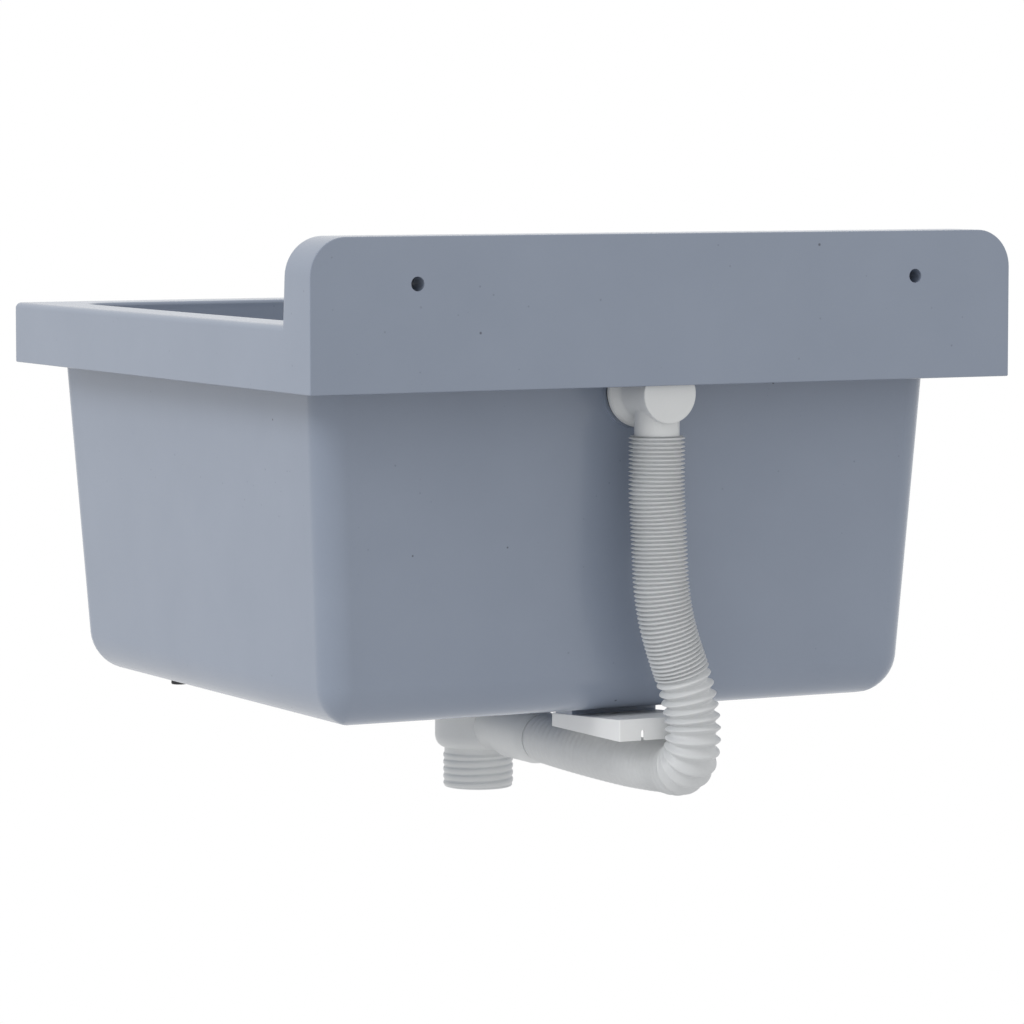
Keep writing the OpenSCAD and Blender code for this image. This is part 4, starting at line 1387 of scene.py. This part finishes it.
@dataclass
class Waste:
    """The waste body with its side inlet and threaded tail, and the collar over the hose joint."""

    top_z: float = -0.289
    body_r: float = 0.0293
    collar_r: float = 0.036
    collar_t: float = 0.004
    shoulder_z: float = -0.315
    tail_z: float = -0.3235
    end_z: float = -0.3505
    tail_r: float = 0.0237
    thread_len: float = 0.024
    thread_depth: float = 0.0008
    pitch: float = 0.0048
    bore_r: float = 0.020
    wall: float = 0.0024
    inlet_r: float = 0.016
    inlet_bore: float = 0.0134
    cuff_r: float = 0.01825
    cuff_len: float = 0.044
    cuff_back: float = 0.011
    cuff_bore: float = 0.01604
    cuff_grip: float = 0.01511

    def build(self, finishes: Finishes) -> None:
        """Models and dresses the waste body and the collar.

        Args:
            finishes: the materials.
        """
        finishes.dress(self.body(), "Waste_body", Slot.WHITE, "waste_body", "waste_shoulder", "waste_tail",
                       "waste_inlet")
        finishes.dress(self.cuff(), "Hose_collar", Slot.WHITE, "hose_cuff")

    def body(self) -> Obj:
        """Models the waste body.

        Returns:
            The piece.
        """
        root = self.tail_r - self.thread_depth
        inner, under = self.body_r - self.wall, self.top_z - self.collar_t
        drop = self.shoulder_z - self.tail_z
        tail = [(self.bore_r + 0.0004, self.end_z), (root - 0.0005, self.end_z)]
        thread = [(root, self.end_z + self.thread_len * k / 64) for k in range(1, 65)]
        shoulder = [(root + (self.body_r - root) * math.sin(a), self.shoulder_z - drop * math.cos(a))
                    for a in quarter(8)]
        collar = rounded_profile([(self.body_r, self.shoulder_z + 0.001, 0), (self.body_r, under, 0.0008),
                                  (self.collar_r, under, 0.0006), (self.collar_r, self.top_z, 0.0006),
                                  (inner, self.top_z, 0)])
        bore = [(inner, self.shoulder_z), (self.bore_r, self.tail_z), (self.bore_r, self.end_z + 0.0004)]
        profile = tail + thread + [(root, self.tail_z)] + shoulder + collar + bore
        obj = turned("waste body", profile, (0, DRAIN_Y, 0), ring=True)
        self.cut_thread(obj, root)
        length = INLET_Y - DRAIN_Y
        spout = rounded_profile([(self.inlet_r, self.bore_r + 0.003, 0), (self.inlet_r, length, 0.0006),
                                 (self.inlet_bore, length, 0)])
        pipe = turned("inlet", spout, (0, DRAIN_Y, INLET_Z), Axis.WALL, 72)
        combine(obj, pipe, "UNION")
        way = rod("inlet bore", (0, DRAIN_Y + 0.012, INLET_Z), length, self.inlet_bore, Axis.WALL)
        combine(obj, way, "DIFFERENCE")
        room = rod("body bore", (0, DRAIN_Y, self.shoulder_z), self.top_z - self.shoulder_z + 0.001,
                   inner - 0.00002, sides=96)
        combine(obj, room, "DIFFERENCE")
        clean(obj)
        shade(obj, 40.0)
        return obj

    def cut_thread(self, obj: Obj, root: float) -> None:
        """Lifts the tail's skin into a screw thread.

        Args:
            obj: the waste body.
            root: the radius between the turns of the thread.
        """
        first, last = self.end_z + 0.0004, self.end_z + self.thread_len + 0.0001
        with editing(obj, "VERT") as bm:
            for vert in bm.verts:
                x, y, z = vert.co.x, vert.co.y - DRAIN_Y, vert.co.z
                radius = math.hypot(x, y)
                if radius < root - 0.0002 or not first < z < last:
                    continue
                turn = ((z - self.end_z) / self.pitch - math.atan2(y, x) / (2 * math.pi)) % 1.0
                lift = 0.5 + 0.5 * math.cos(2 * math.pi * min(0.5, max(0.0, abs(turn - 0.5) - 0.12) / 0.76))
                fade = min(1.0, (z - first) / 0.0015, (last - z) / 0.002)
                grown = radius + self.thread_depth * lift * max(fade, 0.0)
                vert.co.x, vert.co.y = x * grown / radius, y * grown / radius + DRAIN_Y

    def cuff(self) -> Obj:
        """Models the smooth collar over the hose joint, with its rounded ends.

        Returns:
            The piece.
        """
        bore, grip, end = self.cuff_bore, self.cuff_grip, self.cuff_len
        section = [(bore, 0, 0.0003), (self.cuff_r, 0, 0.0012), (self.cuff_r, end - 0.006, 0.004),
                   (grip + 0.0008, end, 0.0005), (grip, end, 0.0002), (grip, end - 0.004, 0.0003),
                   (bore, end - 0.008, 0.0003)]
        obj = turned("cuff", rounded_profile(section, True), (0, INLET_Y - self.cuff_back, INLET_Z),
                     Axis.WALL, 72, ring=True)
        shade(obj, 40.0)
        return obj


@dataclass
class Supports:
    """The hollow wedge under the back edge of the bowl, and the rubber feet under its front."""

    half_w: float = 0.0315
    bottom_z: float = -0.2932
    wall: float = 0.002
    slot_w: float = 0.0028
    slot_h: float = 0.0065
    foot_z: float = -0.281
    foot_r: float = 0.0055
    foot_h: float = 0.0052
    foot_hole_r: float = 0.0018
    recess_r: float = 0.0032
    recess_h: float = 0.0022

    def build(self, finishes: Finishes) -> None:
        """Models and dresses the wedge and the feet.

        Args:
            finishes: the materials.
        """
        # The wedge gets the white plastic painted lighter, as painted light for the light from the side.
        finishes.dress(self.wedge(), "Support_wedge", Slot.WHITE, "support_wedge", painted_light_white=True)
        finishes.dress(self.feet(), "Front_feet", Slot.RUBBER, "front_feet")

    def sloped(self, name: str, inset: float, low_z: float) -> Obj:
        """Models the wedge's form or its hollow, whose top falls away from the wall.

        Args:
            name: the object's name.
            inset: how far the form lies inside the wedge's own.
            low_z: the height of its underside.

        Returns:
            The solid.
        """
        middle, far_y, top_z = WEDGE_SCREW[0], WEDGE_REAR_Y - WEDGE_LENGTH + inset, WEDGE_TOP_Z - inset
        obj = block(name, (middle - self.half_w + inset, far_y, low_z),
                    (middle + self.half_w - inset, WEDGE_REAR_Y - inset, top_z))
        with editing(obj, "VERT") as bm:
            for vert in bm.verts:
                vert.select = vert.co.z > top_z - TINY and vert.co.y < far_y + TINY
            bpy.ops.transform.translate(value=(0, 0, -WEDGE_FALL))
        return obj

    def wedge(self) -> Obj:
        """Models the wedge, open below, with the slot in its rear face.

        Returns:
            The piece.
        """
        obj = self.sloped("wedge", 0.0, self.bottom_z)
        with editing(obj) as bm:
            pick_edges(bm, lambda a, b: abs(a.z - b.z) > 0.004 and abs(a.y - b.y) < TINY)
            bevel(0.0008, 3)
        with editing(obj) as bm:
            pick_edges(bm, lambda a, b: min(a.z, b.z) > self.bottom_z + 0.005)
            bevel(0.0005, 2)
        combine(obj, self.sloped("wedge hollow", self.wall, self.bottom_z - 0.001), "DIFFERENCE")
        slot_top = self.bottom_z + self.slot_h
        slot = block("wedge slot",
                     (-self.slot_w / 2, WEDGE_REAR_Y - self.wall - 0.001, self.bottom_z - 0.001),
                     (self.slot_w / 2, WEDGE_REAR_Y + 0.001, slot_top))
        with editing(slot) as bm:
            pick_edges(bm, lambda a, b: min(a.z, b.z) > slot_top - TINY and abs(a.y - b.y) > 0.001)
            bevel(0.0012, 4)
        combine(obj, slot, "DIFFERENCE")
        hole = rod("wedge hole", (*WEDGE_SCREW, self.bottom_z + 0.001), 0.014, 0.0023, sides=24)
        combine(obj, hole, "DIFFERENCE")
        clean(obj)
        shade(obj, 40.0)
        return obj

    def feet(self) -> Obj:
        """Models the two feet with their recesses.

        Returns:
            One piece with both feet.
        """
        low = self.foot_z - self.foot_h
        roof = low + self.recess_h
        section = rounded_profile([(self.foot_hole_r, roof, 0), (self.recess_r, roof, 0),
                                   (self.recess_r, low, 0.0003), (self.foot_r, low, 0.0009),
                                   (self.foot_r, self.foot_z, 0.0004),
                                   (self.foot_hole_r, self.foot_z, 0)], True)
        both = [turned(f"foot {side}", section, (side * FOOT_X, FOOT_Y, 0), sides=64, ring=True)
                for side in (-1, 1)]
        obj = join(*both)
        shade(obj, 40.0)
        return obj


@dataclass
class StopperKnob:
    """The knob on the stopper's post, waisted for two fingers."""

    base_z: float = -0.2834
    radius: float = 0.009
    height: float = 0.013
    dome_h: float = 0.005
    hole_r: float = 0.00195

    def build(self, finishes: Finishes) -> None:
        """Models and dresses the knob.

        Args:
            finishes: the materials.
        """
        waist, crown = 0.6 * self.radius, self.height - self.dome_h
        foot = [(self.hole_r, 0.006), (self.hole_r, 0.0), (waist - 0.0004, 0.0), (waist, 0.0004)]
        flare = [(waist + (self.radius - waist) * math.sin(a), crown - (crown - 0.002) * math.cos(a))
                 for a in quarter(12, 0)]
        dome = [(self.radius * math.cos(a), crown + self.dome_h * math.sin(a)) for a in quarter(10)[:-1]]
        profile = foot + flare + dome + [(0.0004, self.height)]
        obj = turned("knob", profile, (0, DRAIN_Y, self.base_z), sides=72)
        shade(obj, 40.0)
        finishes.dress(obj, "Stopper_knob", Slot.RUBBER, "stopper_knob", body=Body.STOPPER)


@dataclass
class CarriedOver:
    """Nodes of the frame whose solid shape is right: each gets its finish, and its edges are broken."""

    edges: tuple[tuple[Slot, float, tuple[str, ...]], ...] = (
        (Slot.RUBBER, 0.0002, ("flange_gasket",)),
        (Slot.RUBBER, 0.0003, ("overflow_gasket", "body_gasket")),
        (Slot.RUBBER, 0.0004, ("stopper_seal",)),
        (Slot.BRASS, 0.0002, ("overflow_insert", "clamp_insert")),
        (Slot.STEEL, 0.0002, ("overflow_cover", "strainer_basket")),
        (Slot.STEEL, 0.0003, ("overflow_screw", "clamp_screw", "stopper_post", "wedge_screw",
                              "foot_screws")),
        (Slot.STEEL, 0.0004, ("waste_flange",)),
        (Slot.WHITE, 0.0003, ("clamp_bridge",)))

    def dress(self, nodes: dict[str, Obj], finishes: Finishes) -> None:
        """Dresses the nodes.

        Args:
            nodes: the frame's nodes by name.
            finishes: the materials.
        """
        for slot, width, names in self.edges:
            for name in names:
                obj = nodes[name]
                obj.data.materials.clear()
                obj.data.materials.append(finishes.by_slot[slot])
                obj.data.polygons.foreach_set("use_smooth", [True] * len(obj.data.polygons))
                obj.modifiers.new("Weld", "WELD").merge_threshold = 2e-6
                rounding = obj.modifiers.new("Broken edges", "BEVEL")
                rounding.width = width
                rounding.segments = 2
                rounding.limit_method = "ANGLE"
                rounding.angle_limit = math.radians(38)
                obj.modifiers.new("Flat faces stay flat", "WEIGHTED_NORMAL").weight = 80


# --- Studio ---


@dataclass
class Studio:
    """Camera at the photograph's place, a white room, a pale floor and soft light from the sink's right."""

    camera_at: tuple[float, float, float] = (1.425835, 2.498865, 0.088908)
    yaw: float = 27.70347
    pitch: float = 4.65197
    lens: float = 162.2533
    floor_z: float = -0.85
    floor_paint: float = 0.75
    ambient: float = 0.72
    key: float = 0.90
    key_towards: tuple[float, float, float] = (0.80, 0.10, 0.60)
    key_angle: float = 28.0

    def place(self, name: str, data: bpy.types.ID, forward: Vector) -> Obj:
        """Adds a camera or a lamp.

        Args:
            name: its name.
            data: its data.
            forward: the way that it looks.

        Returns:
            The object.
        """
        obj = bpy.data.objects.new(name, data)
        bpy.context.scene.collection.objects.link(obj)
        obj.rotation_mode = "QUATERNION"
        obj.rotation_quaternion = forward.to_track_quat("-Z", "Y")
        return obj

    def camera(self) -> None:
        """Makes the camera."""
        data = bpy.data.cameras.new("Camera")
        data.lens = self.lens
        data.sensor_width = 36.0
        data.clip_start, data.clip_end = 0.05, 100.0
        yaw, pitch = math.radians(self.yaw), math.radians(self.pitch)
        level = math.cos(pitch)
        forward = Vector((-math.sin(yaw) * level, -math.cos(yaw) * level, -math.sin(pitch)))
        obj = self.place("Camera", data, forward)
        obj.location = self.camera_at
        bpy.context.scene.camera = obj

    def seen(self, sheet: NodeSheet) -> Socket:
        """Whether a ray comes from the camera, a reflection or a refraction.

        Args:
            sheet: the node tree.

        Returns:
            1 for such a ray.
        """
        path = sheet.add("ShaderNodeLightPath")
        some = sheet.math("MAXIMUM", path.outputs["Is Camera Ray"], path.outputs["Is Glossy Ray"])
        return sheet.math("MAXIMUM", some, path.outputs["Is Transmission Ray"])

    def mixed(self, sheet: NodeSheet, share: Socket, *shaders: bpy.types.Node) -> bpy.types.Node:
        """Mixes two shaders.

        Args:
            sheet: the node tree.
            share: how much of the second shows.
            *shaders: the two.

        Returns:
            The mix.
        """
        mix = sheet.add("ShaderNodeMixShader")
        sheet.put(share, mix.inputs[0])
        for shader, socket in zip(shaders, mix.inputs[1:]):
            sheet.put(shader.outputs[0], socket)
        return mix

    def world(self) -> None:
        """Makes the white room: white to the eye, softer as a lamp."""
        world = bpy.data.worlds.new("White room")
        world.use_nodes = True
        world.node_tree.nodes.clear()
        sheet = NodeSheet(world.node_tree)
        soft, white = sheet.add("ShaderNodeBackground"), sheet.add("ShaderNodeBackground")
        for node, strength in ((soft, self.ambient), (white, 1.0)):
            node.inputs["Color"].default_value = (1.0, 1.0, 1.0, 1.0)
            node.inputs["Strength"].default_value = strength
        mix = self.mixed(sheet, self.seen(sheet), soft, white)
        sheet.put(mix.outputs[0], sheet.add("ShaderNodeOutputWorld").inputs["Surface"])
        bpy.context.scene.world = world

    def floor(self) -> None:
        """Makes the pale floor, which is open to a view from below."""
        deselect_all()
        bpy.ops.mesh.primitive_plane_add(size=60.0, location=(0, 0, self.floor_z))
        obj = settle("Floor")
        material = bpy.data.materials.new("Pale floor")
        material.use_nodes = True
        material.node_tree.nodes.clear()
        sheet = NodeSheet(material.node_tree)
        paint, glow = sheet.add("ShaderNodeBsdfDiffuse"), sheet.add("ShaderNodeEmission")
        paint.inputs["Color"].default_value = (self.floor_paint, self.floor_paint, self.floor_paint, 1.0)
        glow.inputs["Color"].default_value = (1.0, 1.0, 1.0, 1.0)
        glow.inputs["Strength"].default_value = 1.0
        clear, geometry = sheet.add("ShaderNodeBsdfTransparent"), sheet.add("ShaderNodeNewGeometry")
        top = self.mixed(sheet, self.seen(sheet), paint, glow)
        side = self.mixed(sheet, geometry.outputs["Backfacing"], top, clear)
        sheet.put(side.outputs[0], sheet.add("ShaderNodeOutputMaterial").inputs["Surface"])
        obj.data.materials.append(material)

    def lamp(self) -> None:
        """Makes the soft key light."""
        data = bpy.data.lights.new("Key", "SUN")
        data.energy = self.key
        data.angle = math.radians(self.key_angle)
        self.place("Key", data, -Vector(self.key_towards))

    def build(self) -> None:
        """Makes the room, the floor and the light."""
        bpy.context.scene.view_settings.view_transform = "Standard"
        self.world()
        self.floor()
        self.lamp()


def plain(corners: tuple[Vector, Vector]) -> list[list[float]]:
    """Two corners as plain lists of numbers."""
    return [[float(v) for v in corner] for corner in corners]


def main() -> None:
    """Builds the whole scene round the frame."""
    logging.basicConfig(level=logging.INFO, format="%(name)s: %(message)s")
    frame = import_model()
    studio = Studio()
    studio.camera()
    finishes = Finishes()
    for piece in (RibbedHose(), Basin(), OverflowElbow(), Waste(), Supports(), StopperKnob()):
        piece.build(finishes)
    CarriedOver().dress(frame["nodes"], finishes)
    studio.build()
    deselect_all()


if __name__ == "__main__":
    main()
